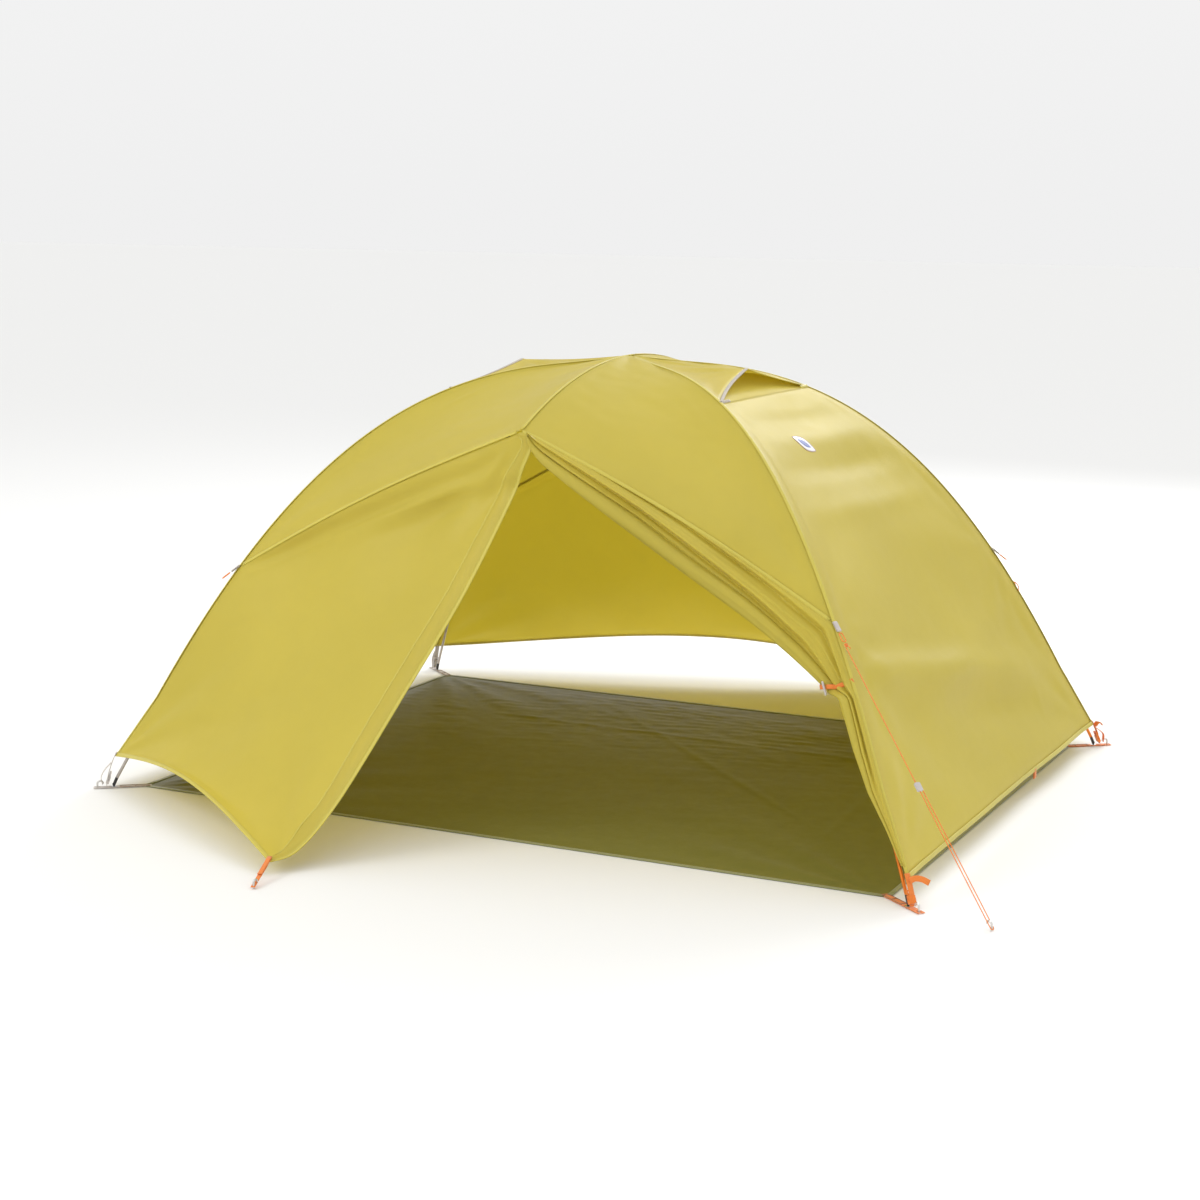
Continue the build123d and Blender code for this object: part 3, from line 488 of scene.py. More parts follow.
def plastic_material(name, rgb):
    """Moulded plastic: fine texture, faint flow marks, paler wear where it rubs."""
    n = Nodes(name)
    flow = n.noise(35.0, 5.0, 0.6)
    return n.done(n.principled(n.tones(flow, 0.4, 0.75, rgb, 0.88, 1.1), n.uneven(0.34, flow, 0.2),
                               n.bump(n.noise(900.0, 2.0), 0.2, 0.0002), Specular_IOR_Level=0.45))


def metal_material(name, rgb, rough=0.20):
    """Anodised or plain drawn metal: fine scratches along it and uneven gloss."""
    n = Nodes(name)
    scratch = n.noise(420.0, 5.0, 0.7)
    return n.done(n.principled(n.tones(n.noise(12.0, 3.0), 0.35, 0.7, rgb, 0.85, 1.12),
                               n.uneven(rough, scratch, 0.24), n.bump(scratch, 0.15, 0.0001), Metallic=1.0))


def braid_material(name, rgb, pitch=0.0022):
    """Braided cord: crossed diagonal strands."""
    n = Nodes(name)
    x, y, z = n.add("ShaderNodeSeparateXYZ", {0: n.place}).outputs[:3]
    one, two = n.wave(n.math("ADD", z, x), pitch / 2), n.wave(n.math("SUBTRACT", z, y), pitch / 2)
    strands = n.math("MULTIPLY", one, two)
    return n.done(n.principled(n.tones(strands, -0.6, 0.8, rgb, 0.7, 1.1), 0.55,
                               n.bump(strands, 0.4, 0.0003), Sheen_Weight=0.2))


FLY_RGB, GREY_RGB, ORANGE_RGB = (0.740, 0.640, 0.108), (0.60, 0.54, 0.50), (0.90, 0.235, 0.025)
GLOW = 0.5                                   # share of the light that goes through the cloth
MAT = {
    "fly": cloth_material("fly_nylon", FLY_RGB, glow=GLOW),
    "fly_trim": cloth_material("fly_seam_tape", shade(FLY_RGB, 0.93), glow=0.25, thread=0.0014),
    "ground": cloth_material("groundsheet_nylon", (0.160, 0.158, 0.036), sheen=0.04, rough=0.42),
    # real binding, but its paler grey-green colour is painted sheen: it stands in for the sheen along the
    # groundsheet's edge
    "ground_trim": cloth_material("groundsheet_binding_painted_sheen", (0.26, 0.27, 0.12), sheen=0.4, thread=0.0012),
    # painted light: the mesh is coloured brighter than the fly to lighten the shade under the hoods
    "mesh": cloth_material("vent_mesh_cloth", (0.80, 0.70, 0.13), glow=GLOW, thread=0.0024),
    "patch": cloth_material("patch_cloth", (0.74, 0.76, 0.82), sheen=0.1, thread=0.0012),
    "patch_mark": cloth_material("patch_mark_cloth", (0.12, 0.16, 0.42), sheen=0.1, thread=0.0009),
    "patch_rim": webbing_material("patch_rim_thread", (0.62, 0.42, 0.38), rib=0.0008),
    "zip": webbing_material("zip_tape_woven", (0.33, 0.29, 0.07), rib=0.0012),
    "thread": webbing_material("bar_tack_thread", (0.32, 0.16, 0.08), rib=0.0007),
    "grey_trim": webbing_material("vent_rim_binding", (0.46, 0.40, 0.33)),
    "grey_web": webbing_material("grey_webbing", GREY_RGB),
    "grey_web_solid": webbing_material("grey_webbing_solid", GREY_RGB, solid=True),
    "orange_web": webbing_material("orange_webbing", ORANGE_RGB),
    "orange_web_solid": webbing_material("orange_webbing_solid", ORANGE_RGB, solid=True),
    "grey_plastic": plastic_material("grey_plastic", (0.56, 0.52, 0.50)),
    "orange_plastic": plastic_material("orange_plastic", (0.88, 0.22, 0.02)),
    "black_plastic": plastic_material("black_plastic", (0.035, 0.035, 0.035)),
    "pole": metal_material("pole_anodised", (0.26, 0.19, 0.12)),
    "grey_pole": metal_material("pole_grey", (0.55, 0.50, 0.47)),
    "orange_pole": metal_material("pole_orange", (0.85, 0.24, 0.04)),
    "steel": metal_material("bright_wire", (0.66, 0.65, 0.63), rough=0.22),
    "elastic": braid_material("shock_cord_braid", (0.04, 0.04, 0.04)),
    "cord": braid_material("guyline_braid", (0.92, 0.24, 0.02)),
}


# ------------ camera, floor and light
CAMERA_AZIMUTH, CAMERA_ELEVATION, CAMERA_ROLL = radians(25.785), radians(10.098), radians(0.611)
CAMERA_DISTANCE, CAMERA_TARGET, CAMERA_LENS = 7.396, Vector((-0.354, 0.536, 0.4)), 67.16


def make_camera():
    """Looks at the target from an azimuth (0 looks along +Y) and an elevation above the horizon."""
    data = bpy.data.cameras.new("camera")
    data.lens, data.sensor_width, data.clip_end = CAMERA_LENS, 36.0, 200.0
    level = cos(CAMERA_ELEVATION)
    back = Vector((sin(CAMERA_AZIMUTH) * level, -cos(CAMERA_AZIMUTH) * level, sin(CAMERA_ELEVATION)))
    turn = back.to_track_quat("Z", "Y").to_matrix().to_4x4() @ Matrix.Rotation(CAMERA_ROLL, 4, "Z")
    cam = link("camera", data)
    cam.matrix_world = Matrix.Translation(CAMERA_TARGET + back * CAMERA_DISTANCE) @ turn
    bpy.context.scene.camera = cam


def area_light(name, place, target, size, power, rgb=(1.0, 1.0, 1.0)):
    data = bpy.data.lights.new(name, "AREA")
    data.shape, data.size, data.size_y = "RECTANGLE", size[0], size[1]
    data.energy, data.color = power, rgb
    obj = link(name, data)
    obj.location = place
    obj.rotation_euler = (Vector(target) - Vector(place)).to_track_quat("-Z", "Y").to_euler()


def make_floor(reach=60.0):
    mesh = bpy.data.meshes.new("floor")
    mesh.from_pydata([(-reach, -reach, 0), (reach, -reach, 0), (reach, reach, 0), (-reach, reach, 0)],
                     [], [(0, 1, 2, 3)])
    n = Nodes("floor_paint")
    shader = n.add("ShaderNodeBsdfPrincipled", {"Base Color": (0.86, 0.86, 0.85, 1), "Roughness": 0.8,
                                                "Specular IOR Level": 0.2})
    mesh.materials.append(n.done(shader.outputs[0]))
    link("floor", mesh)


SKY_LOW, SKY_TOP = 0.87, 1.08                # the horizon as bright as the floor that the sky lights


def make_sky():
    world = bpy.data.worlds.new("studio")
    world.use_nodes = True
    tree = world.node_tree
    split = tree.nodes.new("ShaderNodeSeparateXYZ")
    height = tree.nodes.new("ShaderNodeMapRange")
    background = tree.nodes["Background"]
    height.inputs["To Min"].default_value, height.inputs["To Max"].default_value = SKY_LOW, SKY_TOP
    background.inputs[0].default_value = (1.0, 1.0, 1.0, 1)
    tree.links.new(tree.nodes.new("ShaderNodeTexCoord").outputs["Generated"], split.inputs[0])
    tree.links.new(split.outputs[2], height.inputs["Value"])
    tree.links.new(height.outputs[0], background.inputs[1])
    bpy.context.scene.world = world


def make_lights():
    area_light("key", (-3.6, -5.0, 4.8), (0, -0.2, 0.4), (3.0, 2.4), 110, (1.0, 0.97, 0.92))
    area_light("rim", (0.8, 5.6, 4.2), (0.1, 0.6, 0.6), (3.4, 2.6), 190)
    area_light("top", (1.4, -0.4, 6.0), (0.3, 0, 0.6), (3.0, 3.0), 30)


make_camera()
make_floor()
make_sky()
make_lights()
bpy.context.scene.view_settings.view_transform = "Standard"


# ------------ guyline
GUY_PEG = vec(1.440, -1.020, 0.009)
CORD_R, PEG_R, PEG_PLAY = 0.00125, 0.0028, 0.0008
RUNNER_AT = 0.535                            # the runner's share of the way from the loop to the peg
LOOP_END = 0.065                             # the guyout's loop ends this far from its tab
TAB_STANDOFF = STANDOFF + 0.003


def guyout_frame(sx, sy):
    """Root of a guyout's tab and the direction that it hangs or is pulled in."""
    root = leg_point(GUY_F, sx, sy, TAB_STANDOFF)
    if (sx, sy) == (1, -1):
        return root, unit(GUY_PEG - root)
    return root, outwards(sx, sy) * 0.8 - UP * 0.6


def guyline():
    """Taut cord from the guyout's loop, round its peg and back up to the line runner."""
    root, run = guyout_frame(1, -1)
    start = root + run * LOOP_END
    around = PEG_R + CORD_R + PEG_PLAY
    across = unit(np.cross(run, UP)) * around
    far = GUY_PEG + run * (around + 2 * PEG_PLAY)
    near = run * 12 * CORD_R                 # keeps the cord straight up to the peg
    route = [start + across, far + across - near, far + across,
             far - across, far - across - near, mix(start, GUY_PEG, RUNNER_AT) - across]
    data = bpy.data.curves.new("guyline_cord", "CURVE")
    data.dimensions = "3D"
    data.bevel_depth, data.bevel_resolution, data.resolution_u = CORD_R, 3, 10
    data.use_fill_caps = True
    spline = data.splines.new("NURBS")
    spline.points.add(len(route) - 1)
    for point, place in zip(spline.points, route):
        point.co = (*place, 1.0)
    spline.order_u = 3
    spline.use_endpoint_u = True
    data.materials.append(MAT["cord"])
    obj = tent_piece(link("guyline_cord", data), "cord_orange", "guyline")


guyline()


# ------------ rain fly: the canopy
def cloth_piece(name, parts, nodes, flat, held, area=None, rests_on=(), look="fly", slot="fly_fabric",
                **made):
    """A sheet of cloth on the tent, from its (grid, away) parts."""
    obj = tent_piece(sheet_object(name, parts, look, **made), slot, *nodes)


FOOT_ROWS, LEG_ROWS, HOOD_ROWS = 30, 46, 22  # rows up to the guyout, on to the vent, and on to the hub
ROOF_COLS, END_COLS, HOOD_COLS = 60, 112, 26
LEG_STATIONS = stations(GUY_F, VENT_F, LEG_ROWS)
HOOD_STATIONS = stations(VENT_F, HUB_F, HOOD_ROWS)
END_STATIONS = stations(0.0, GUY_F, FOOT_ROWS)[:-1] + LEG_STATIONS
END_CREASES = ((0.62, 0.006), (0.585, -0.008), (0.53, 0.008), (0.465, -0.008), (0.39, 0.006))


def roof_grid(sx, sy):
    """Roof between the brow seam and one leg's seam."""
    away = vec(0.3 * sx, sy, 1.2)
    apex, guy = APEX[sy], seam_point(GUY_F, sx, sy)
    door_bow = door_seam(0.5, sx, sy) - mix(apex, guy, 0.5)
    rows = []
    for f in LEG_STATIONS[:-1] + HOOD_STATIONS:
        t = (1 - f) / (1 - GUY_F)
        bow = door_bow * smooth((t - 0.35) / 0.65)
        rows.append((brow_point(t, sy, STANDOFF), seam_point(f, sx, sy), bow))
    grid = bowed_rows(rows, ROOF_COLS)
    folds = fans(grid, away, (guy, vec(0.1 * sx, 0.5 * sy, 1.15), 11, 0.22, 0.0022),
                 (vec(0, 0, 1.25), vec(0.4 * sx, 0.5 * sy, 1.1), 13, 0.12, 0.0016))
    folds += creases(grid, seam_point(0.99, sx, sy), seam_point(0.6, sx, sy),
                     (0, 0, 1, (-0.05 * sx, 0.07 * sy, 0), 0.014, 0.004))
    folds += creases(grid, apex, guy, (0.1, (0, 0, 0.05), 0.9, (0, 0, 0.03), 0.02, -0.002))
    seed = sx + 2 * sy
    folds += ripples(grid, (0.34, 0.0026, 3 + seed), (0.08, 0.0005, 40 + seed))
    return grid + facing(grid, away) * (belly(grid) * -0.020 + folds) * edge_fade(grid, 0.1), away


def end_grid(sx):
    """End wall from its hem up to the vent's mouth, hollowed a little between its legs."""
    away = vec(sx, 0, 0.5)
    grid = bowed_rows([(seam_point(f, sx, -1), seam_point(f, sx, 1), 0) for f in END_STATIONS], END_COLS)
    v, u = shares_of(grid)
    sag = -0.034 * np.sin(pi * u) ** 1.3 * (0.35 + 0.65 * np.sin(pi * np.clip(v * 0.95, 0, 1)))
    front_tie, back_tie = seam_point(TIE_F, sx, -1), seam_point(TIE_F, sx, 1)
    front_foot, back_foot = seam_point(0.05, sx, -1), seam_point(0.05, sx, 1)
    folds = creases(grid, front_tie, back_foot, (0.06, 0, 0.93, (0, 0, 0.10), 0.050, 0.030),
                    (0.10, (0, 0, -0.14), 0.80, (0, 0, -0.05), 0.050, -0.024))
    folds += fans(grid, away, (front_tie, back_foot, 9, 0.30, 0.0032, 0.9))
    folds += creases(grid, back_tie, front_foot, (0.08, 0, 0.7, (0, 0, 0.07), 0.06, 0.011))
    for f, height in END_CREASES:
        folds += creases(grid, seam_point(f, sx, -1), seam_point(f - 0.03, sx, 1),
                         (0.06, 0, 0.92, 0, 0.040, height))
    for sy in (-1, 1):
        folds += fans(grid, away, (hem_corner(sx, sy), vec(sx, -0.1 * sy, 0.6), 15, 0.16, 0.002, 0.8),
                      (seam_point(GUY_F, sx, sy), vec(sx, 0, 0.5), 12, 0.12, 0.0015))
    folds += ripples(grid, (0.40, 0.0045, 11 + sx), (0.13, 0.0005, 21 + sx))
    fade = np.maximum(edge_fade(grid, 0.07), 1 - smooth(v / 0.03)) * smooth(np.minimum(u, 1 - u) / 0.07)
    return grid + facing(grid, away) * (sag + folds) * fade, away


def hood_ridge(t, sx):
    """Ridge of a vent hood, from over the hub (0) to its peak (1)."""
    height = mix(brow_point(0, 1, STANDOFF)[2], VENT_PEAK[1], t) - 0.006 * sin(pi * t)
    return vec(sx * VENT_PEAK[0] * t, 0, height)


def hood_grid(sx, sy):
    """One cheek of a vent hood, between the leg's seam and the ridge."""
    away = vec(0.2 * sx, 0.6 * sy, 1)
    rows = []
    for f in HOOD_STATIONS:
        t = (1 - f) / (1 - VENT_F)
        rim = vec(-sx * 0.012 * smooth((t - 0.8) / 0.2), 0, 0)
        rows.append((seam_point(f, sx, sy), hood_ridge(t, sx), rim))
    grid = bowed_rows(rows, HOOD_COLS)
    folds = fans(grid, away, (hood_ridge(1.0, sx), vec(0, 0.1 * sy, 1.2), 12, 0.08, 0.0026),
                 (seam_point(VENT_F, sx, sy), vec(0, 0, 1.25), 10, 0.07, 0.0016))
    return grid + facing(grid, away) * (belly(grid) * -0.006 + folds) * edge_fade(grid), away


ENDS = {sx: end_grid(sx) for sx in (-1, 1)}
HOODS = {corner: hood_grid(*corner) for corner in CORNERS.values()}


def make_canopy():
    parts = [roof_grid(*corner) for corner in CORNERS.values()] + [*ENDS.values(), *HOODS.values()]
    nodes = [f"fly_roof_{name}" for name in CORNERS] + ["fly_end_left", "fly_end_right", "vent_hood_left",
                                                        "vent_hood_right"]
    cloth_piece("fly_canopy", parts, nodes, flat=(3.4, 3.9), held="stretched", area=flat_area(parts),
                rests_on=["leg_front_left", "leg_back_right", "brow_pole"])


make_canopy()


# ------------ rain fly: the doors
FRONT_HEM = (0.068,)                         # how high the hem arches
BACK_HEMS = {-1: (0.098, 1.5, 0.72), 1: (0.014,)}      # with the power that moves its top, and its roundness


def door_patch(side, sx, edge, rows, cols, hem_lift, hem_power=1.0, hem_round=1.0):
    """A door half: leg seam on its left, edge (a line from apex to foot) on its right."""
    def hem(t):
        lift = hem_lift * abs(sin(pi * t ** hem_power)) ** hem_round
        return mix(hem_corner(sx, side), edge(1.0), t) + UP * lift

    return coons(hem, lambda t: door_seam(1 - t, sx, side), lambda t: seam_point(GUY_F * t, sx, side),
                 lambda t: edge(1 - t), rows, cols)


FRONT_EDGE = smooth_line([APEX[-1] + vec(0.004, -0.002, -0.004), (0.034, -0.700, 1.060),
                          (0.009, -0.714, 0.980), (-0.016, -0.728, 0.900), (-0.083, -0.885, 0.645),
                          (-0.158, -1.075, 0.399), (-0.203, -1.214, 0.236), (-0.234, -1.285, 0.148),
                          (-0.267, -1.345, 0.080), (-0.294, -1.396, 0.044),
                          (-VEST[0], -VEST[1], VEST[2] - 0.006)], 10)


def front_left_grid():
    """Closed half of the front door, out to its free edge."""
    away = vec(-0.35, -1, 0.35)
    grid = door_patch(-1, -1, lambda t: along_line(FRONT_EDGE, t), 96, 84, *FRONT_HEM)
    apex, guy, foot = APEX[-1], seam_point(GUY_F, -1, -1), FRONT_EDGE[-1]
    sag = belly(grid, 0.8) * -0.026 * smooth((1 - shares_of(grid)[1]) / 0.25)
    folds = creases(grid, apex, guy, (0.05, (0, -0.02, -0.045), 0.97, (0, 0, -0.012), 0.020, -0.011),
                    (0.02, (-0.02, -0.03, -0.085), 0.75, (0, 0, -0.075), 0.022, 0.008),
                    (0.10, (0, -0.03, -0.125), 0.60, (0, 0, -0.115), 0.026, -0.005))
    folds += fans(grid, away, (apex, vec(-0.5, -0.95, 0.5), 16, 0.16, 0.0026, 0.9),
                  (foot, vec(-0.5, -0.9, 0.6), 12, 0.25, 0.003, 0.7),
                  (hem_corner(-1, -1), vec(-0.5, -1.0, 0.6), 13, 0.2, 0.0025, 0.8))
    folds += ripples(grid, (0.42, 0.004, 5), (0.09, 0.0006, 6))
    return grid + facing(grid, away) * (sag * edge_fade(grid, 0.05) + folds * edge_fade(grid, 0.045)), away


def back_edge(t):
    """The closed door's ridge, from its apex to its foot."""
    foot, apex = vec(*VEST), APEX[1]
    out = -unit(np.cross(foot - apex, vec(1, 0, 0)))
    return mix(apex, foot, t) + out * 0.004 * sin(pi * t)


def back_grid(sx):
    """One half of the closed back door; the left one is wide and its hem is arched."""
    away = vec(0.3 * sx, 1, 0.35)
    grid = door_patch(1, sx, back_edge, 90, 84 if sx < 0 else 60, *BACK_HEMS[sx])
    folds = creases(grid, APEX[1], seam_point(GUY_F, sx, 1),
                    (0.05, (0, 0.02, -0.045), 0.95, (0, 0, -0.012), 0.020, -0.009),
                    (0.02, (0, 0.03, -0.085), 0.70, (0, 0, -0.075), 0.022, 0.007))
    folds += fans(grid, away, (back_edge(1.0), vec(0.3 * sx, 0.9, 0.6), 12, 0.25, 0.003, 0.7),
                  (hem_corner(sx, 1), vec(0.5 * sx, 1.0, 0.6), 13, 0.2, 0.0025, 0.8))
    folds += ripples(grid, (0.42, 0.003, 15 + sx), (0.09, 0.0004, 17 + sx))
    return grid + facing(grid, away) * (belly(grid, 0.8) * -0.024 + folds) * edge_fade(grid, 0.05), away


DOORS = {"front_door_left": front_left_grid(), "back_door_left": back_grid(-1),
         "back_door_right": back_grid(1)}
DOOR_CUTS = {"front_door_left": ("door_front_left", (1.25, 1.30)),
             "back_door_left": ("door_back_left", (1.75, 1.30)),
             "back_door_right": ("door_back_right", (1.20, 1.30))}


def make_doors():
    for name, (node, cut) in DOOR_CUTS.items():
        parts = [DOORS[name]]
        cloth_piece(name, parts, [node], flat=cut, held="hung", area=flat_area(parts),
                    rests_on=["fly_canopy"])


make_doors()


# ------------ rain fly: the rolled half of the front door
ROLL_TURNS = 8.5
TIE_STATION = 0.195                          # where the gathered door is tied to the leg's seam
BUNDLE = vec(0.911, -0.742, 0.486)           # middle of the gathered door under its band
ROLL_LOW = smooth_line([(0.022, -0.706, 1.062), (0.041, -0.706, 1.028), (0.090, -0.712, 0.987),
                        (0.250, -0.720, 0.888), (0.370, -0.724, 0.817), (0.488, -0.727, 0.747),
                        (0.604, -0.730, 0.681), (0.718, -0.733, 0.612), (0.834, -0.738, 0.533),
                        (0.908, -0.742, 0.478)])
ROLL_TOP = np.array([door_seam(t, 1, -1) for t in stations(0.02, 1.0, 40)]
                    + [seam_point(f, 1, -1) for f in stations(GUY_F, TIE_STATION, 8)[1:]])
TAIL_TOP = np.array([seam_point(f, 1, -1) for f in stations(TIE_STATION, 0.012, 40)])
TAIL_IN = unit(vec(-1.0, -0.10, -0.12))
ROLL_RADII = ((0, 0.008), (0.08, 0.014), (0.35, 0.0235), (0.7, 0.0235), (0.88, 0.019), (1, 0.0140))
TAIL_WIDTHS = ((0, 0.060), (0.12, 0.050), (0.4, 0.049), (0.62, 0.040), (0.82, 0.021), (1, 0.010))


def pleat(p):
    """One pleat per turn of p: it rises slowly and then drops under itself."""
    return np.sin(p) - 0.45 * np.sin(2 * p) + 0.18 * np.sin(3 * p)


def dent(x, middle, width):
    """1 at the middle, falling to 0 on both sides."""
    return np.exp(-((x - middle) / width) ** 2)


def gathered_section(top, low, out, radius, lifts, wobble, flat):
    """Across the gathered cloth: folds that hang from the seam, then the roll, turn by turn inwards."""
    down = low - top
    width = np.linalg.norm(down)
    down = down / width
    n = unit(out - down * (out @ down))
    reach = max(width - 2 * radius, 0.3 * width)
    u = np.linspace(0, 1, 40)
    lift = lifts(u) * smooth(u / 0.12) * smooth((1 - u) / 0.10)
    hanging = top + np.outer(u * reach, down) + np.outer(lift, n)
    a = np.concatenate([np.linspace(0, 2 * pi, 29), np.linspace(2 * pi, 2 * pi * ROLL_TURNS, 118)[1:]])
    r = radius * (1 - 0.72 * a / a[-1]) * (1 + wobble(a))
    centre = top + down * (reach + radius)
    roll = centre - np.outer(np.cos(a) * r, down) + np.outer(np.sin(a) * r * flat, n)
    return np.concatenate([hanging, roll[1:]])


def roll_section(t):
    """Section of the roll, from the apex (0) to the tie (1)."""
    near = smooth((t - 0.5) / 0.5)
    size = 0.0040 + 0.0065 * smooth(t / 0.4)

    def lifts(u):
        far = size * pleat(2 * pi * (1.7 * (u + 0.55 * (1 - t)) - 0.1)) + 0.006 * np.sin(pi * u)
        return far * (1 - 0.35 * near) + 0.0020 * near * pleat(2 * pi * 4.2 * u + 0.6) + 0.004

    def wobble(a):
        slit = 0.16 * smooth((t - 0.55) / 0.15) * dent(a, 0.62 * pi, 0.12)
        soft = 0.03 * np.sin(3 * a + 7 * t) + 0.015 * np.sin(2 * a - 17 * t)
        return soft - slit + 0.035 * near * np.sin(5 * a + 1)

    top, low, out = along_line(ROLL_TOP, t), along_line(ROLL_LOW, t), vec(0.10, -1.0, 0.55 - 0.3 * t)
    return gathered_section(top, low, out, along_table(ROLL_RADII, t), lifts, wobble, 0.86)


def tail_section(t):
    """Section of the tail that hangs beside the leg, from the tie (0) to the fly's corner (1)."""
    top = along_line(TAIL_TOP, t)
    free = top + TAIL_IN * along_table(TAIL_WIDTHS, t)
    low = mix(ROLL_LOW[-1] + (top - TAIL_TOP[0]), free, smooth(t / 0.14))
    size = 0.0065 * (1 - 0.55 * t)

    def lifts(u):
        slit = 0.010 * smooth((0.72 - t) / 0.35) * dent(u, 0.58, 0.11)
        return size * dent(u, 0.30, 0.17) + 0.006 - slit

    def wobble(a):
        return 0.03 * np.sin(3 * a + 2 * t)

    radius = mix(0.0135, 0.0035, smooth(t))
    return gathered_section(top, low, vec(-0.15, -1.0, 0.35), radius, lifts, wobble, 0.75)


def make_rolled_door():
    rows = [roll_section(t) for t in stations(0, 1, 92)] + [tail_section(t) for t in stations(0, 1, 46)[1:]]
    parts = [(np.array(rows), vec(0, -1, 0.4))]
    cloth_piece("rolled_front_door", parts, ["rolled_door"], flat=(1.45, 1.30), held="gathered", area=1.15,
                rests_on=["fly_canopy", "tieback_band"], weld=1e-6)


make_rolled_door()


# ------------ seams, hems, flaps and vents
def strips_piece(name, strips, look, slot, *nodes):
    tent_piece(strips_object(name, strips, look), slot, *nodes)


def make_seams():
    """Felled seams: a doubled ribbon of cloth over each leg, the brow and the doors' upper edges."""
    strips = []
    ribbed = band_profile(0.010, 0.0012, 0.0006)
    for sx, sy in CORNERS.values():
        path, over = (np.array([seam_point(f, sx, sy, lift) for f in stations(0.0, 0.985, 110)])
                      for lift in (0.0008, 0.02))
        normals = over - path
        normals[:9] = vec(sx, sy, 0.5)
        strips.append((path, normals, band_profile(0.011, 0.0012, 0.0006)))
        low = np.array([door_seam(t, sx, sy) for t in stations(0.015, 0.985, 70)])
        strips.append((low + vec(0, 0.0010 * sy, 0.0008), vec(0.1 * sx, sy, 0.7), ribbed))
    brow = [brow_point(abs(t), 1 if t > 0 else -1, STANDOFF + 0.0012) for t in stations(-0.995, 0.995, 90)]
    strips.append((brow, UP, ribbed))
    strips_piece("felled_seams", strips, "fly_trim", "fly_fabric")


def border(grid, away, index):
    """A line of a grid with its normals."""
    return grid[index], facing(grid, away)[index]


def make_hems():
    """Hems folded over and stitched, along the end walls, the doors and the open door's free edge."""
    strips = []
    for part in [*ENDS.values(), *DOORS.values()]:
        path, normals = border(*part, 0)
        strips.append((path + UP * 0.005, normals, band_profile(0.013, 0.0024, 0.0004)))
    free_edge = border(*DOORS["front_door_left"], (slice(None), -1))
    strips.append((*free_edge, band_profile(0.012, 0.0022, 0.0004)))
    strips_piece("folded_hems", strips, "fly_trim", "fly_fabric")


def edge_strip(grid, away, widths, lift, columns=9):
    """A strip laid on a grid along its last column, as wide at each row as widths says (0 at its foot)."""
    rows = []
    for i, (line, up) in enumerate(zip(grid[:, ::-1], facing(grid, away)[:, ::-1])):
        at = line_lengths(line)
        reach = min(along_table(widths, i / (len(grid) - 1)), at[-1] * 0.9)
        rows.append([point_at(at, line, s)
                     + unit(point_at(at, up, s)) * lift * (0.25 + 0.75 * smooth(1 - abs(2 * s / reach - 1)))
                     for s in np.linspace(0, reach, columns)])
    return np.array(rows)


FLAP_LIFT = 0.0028
FLAP_WIDTHS = {"front": ((0, 0.012), (0.1, 0.056), (0.4, 0.060), (0.9, 0.052), (1, 0.02)),
               "back": ((0, 0.045), (0.5, 0.072), (1, 0.028))}


def make_flaps():
    """Storm flaps over the zips: strips of the fly's cloth with a stitched inner edge."""
    stitching = []
    for end, widths in FLAP_WIDTHS.items():
        door = f"{end}_door_left"
        grid, away = DOORS[door]
        strip = edge_strip(grid, away, widths, FLAP_LIFT)
        parts = [(strip, away)]
        nodes = ["storm_flaps"] if end == "front" else []
        cloth_piece(f"storm_flap_{end}", parts, nodes, flat=(0.08, 1.32), held="hung", area=flat_area(parts),
                    rests_on=[door], thickness=0.0012)
        stitching.append((strip[2:-1, -1], away, band_profile(0.005, 0.0016, 0.0004)))
    strips_piece("flap_stitching", stitching, "fly_trim", "fly_fabric")


ZIP_INSET = 0.011                            # middle of the open door's tape, in from the door's free edge


def make_zips():
    """Tapes with their coil: one along the open door's free edge, one inside the closed door's ridge."""
    grid, away = DOORS["front_door_left"]
    out = facing(grid, away)[4:-6, -1]
    front = edge_strip(grid, away, ((0, ZIP_INSET), (1, ZIP_INSET)), 0.0)[4:-6, -1] - out * 0.0035
    foot, apex = vec(*VEST), APEX[1]
    down = unit(foot - apex)
    inward = vec(0, -1, -0.5)
    inward = unit(inward - down * (inward @ down))
    ends = apex + down * 0.070 + inward * 0.015, foot - down * 0.045 + inward * 0.015
    back = np.array([mix(*ends, t) for t in stations(0, 1, 40)])
    tapes = [(front, -out, band_profile(0.018, 0.0012)), (back, -inward, band_profile(0.022, 0.0014))]
    coils = [(front - out * 0.0012, -out, band_profile(0.0034, 0.0022, 0.0006)),
             (back - inward * 0.0016, -inward, band_profile(0.0034, 0.0024, 0.0006))]
    strips_piece("zip_tape_strips", tapes, "zip", "zip_tape", "zip_tapes")
    strips_piece("zip_coils", coils, "zip", "zip_tape")


MESH_DROP = 0.0035                           # the mesh is sewn in under the fly


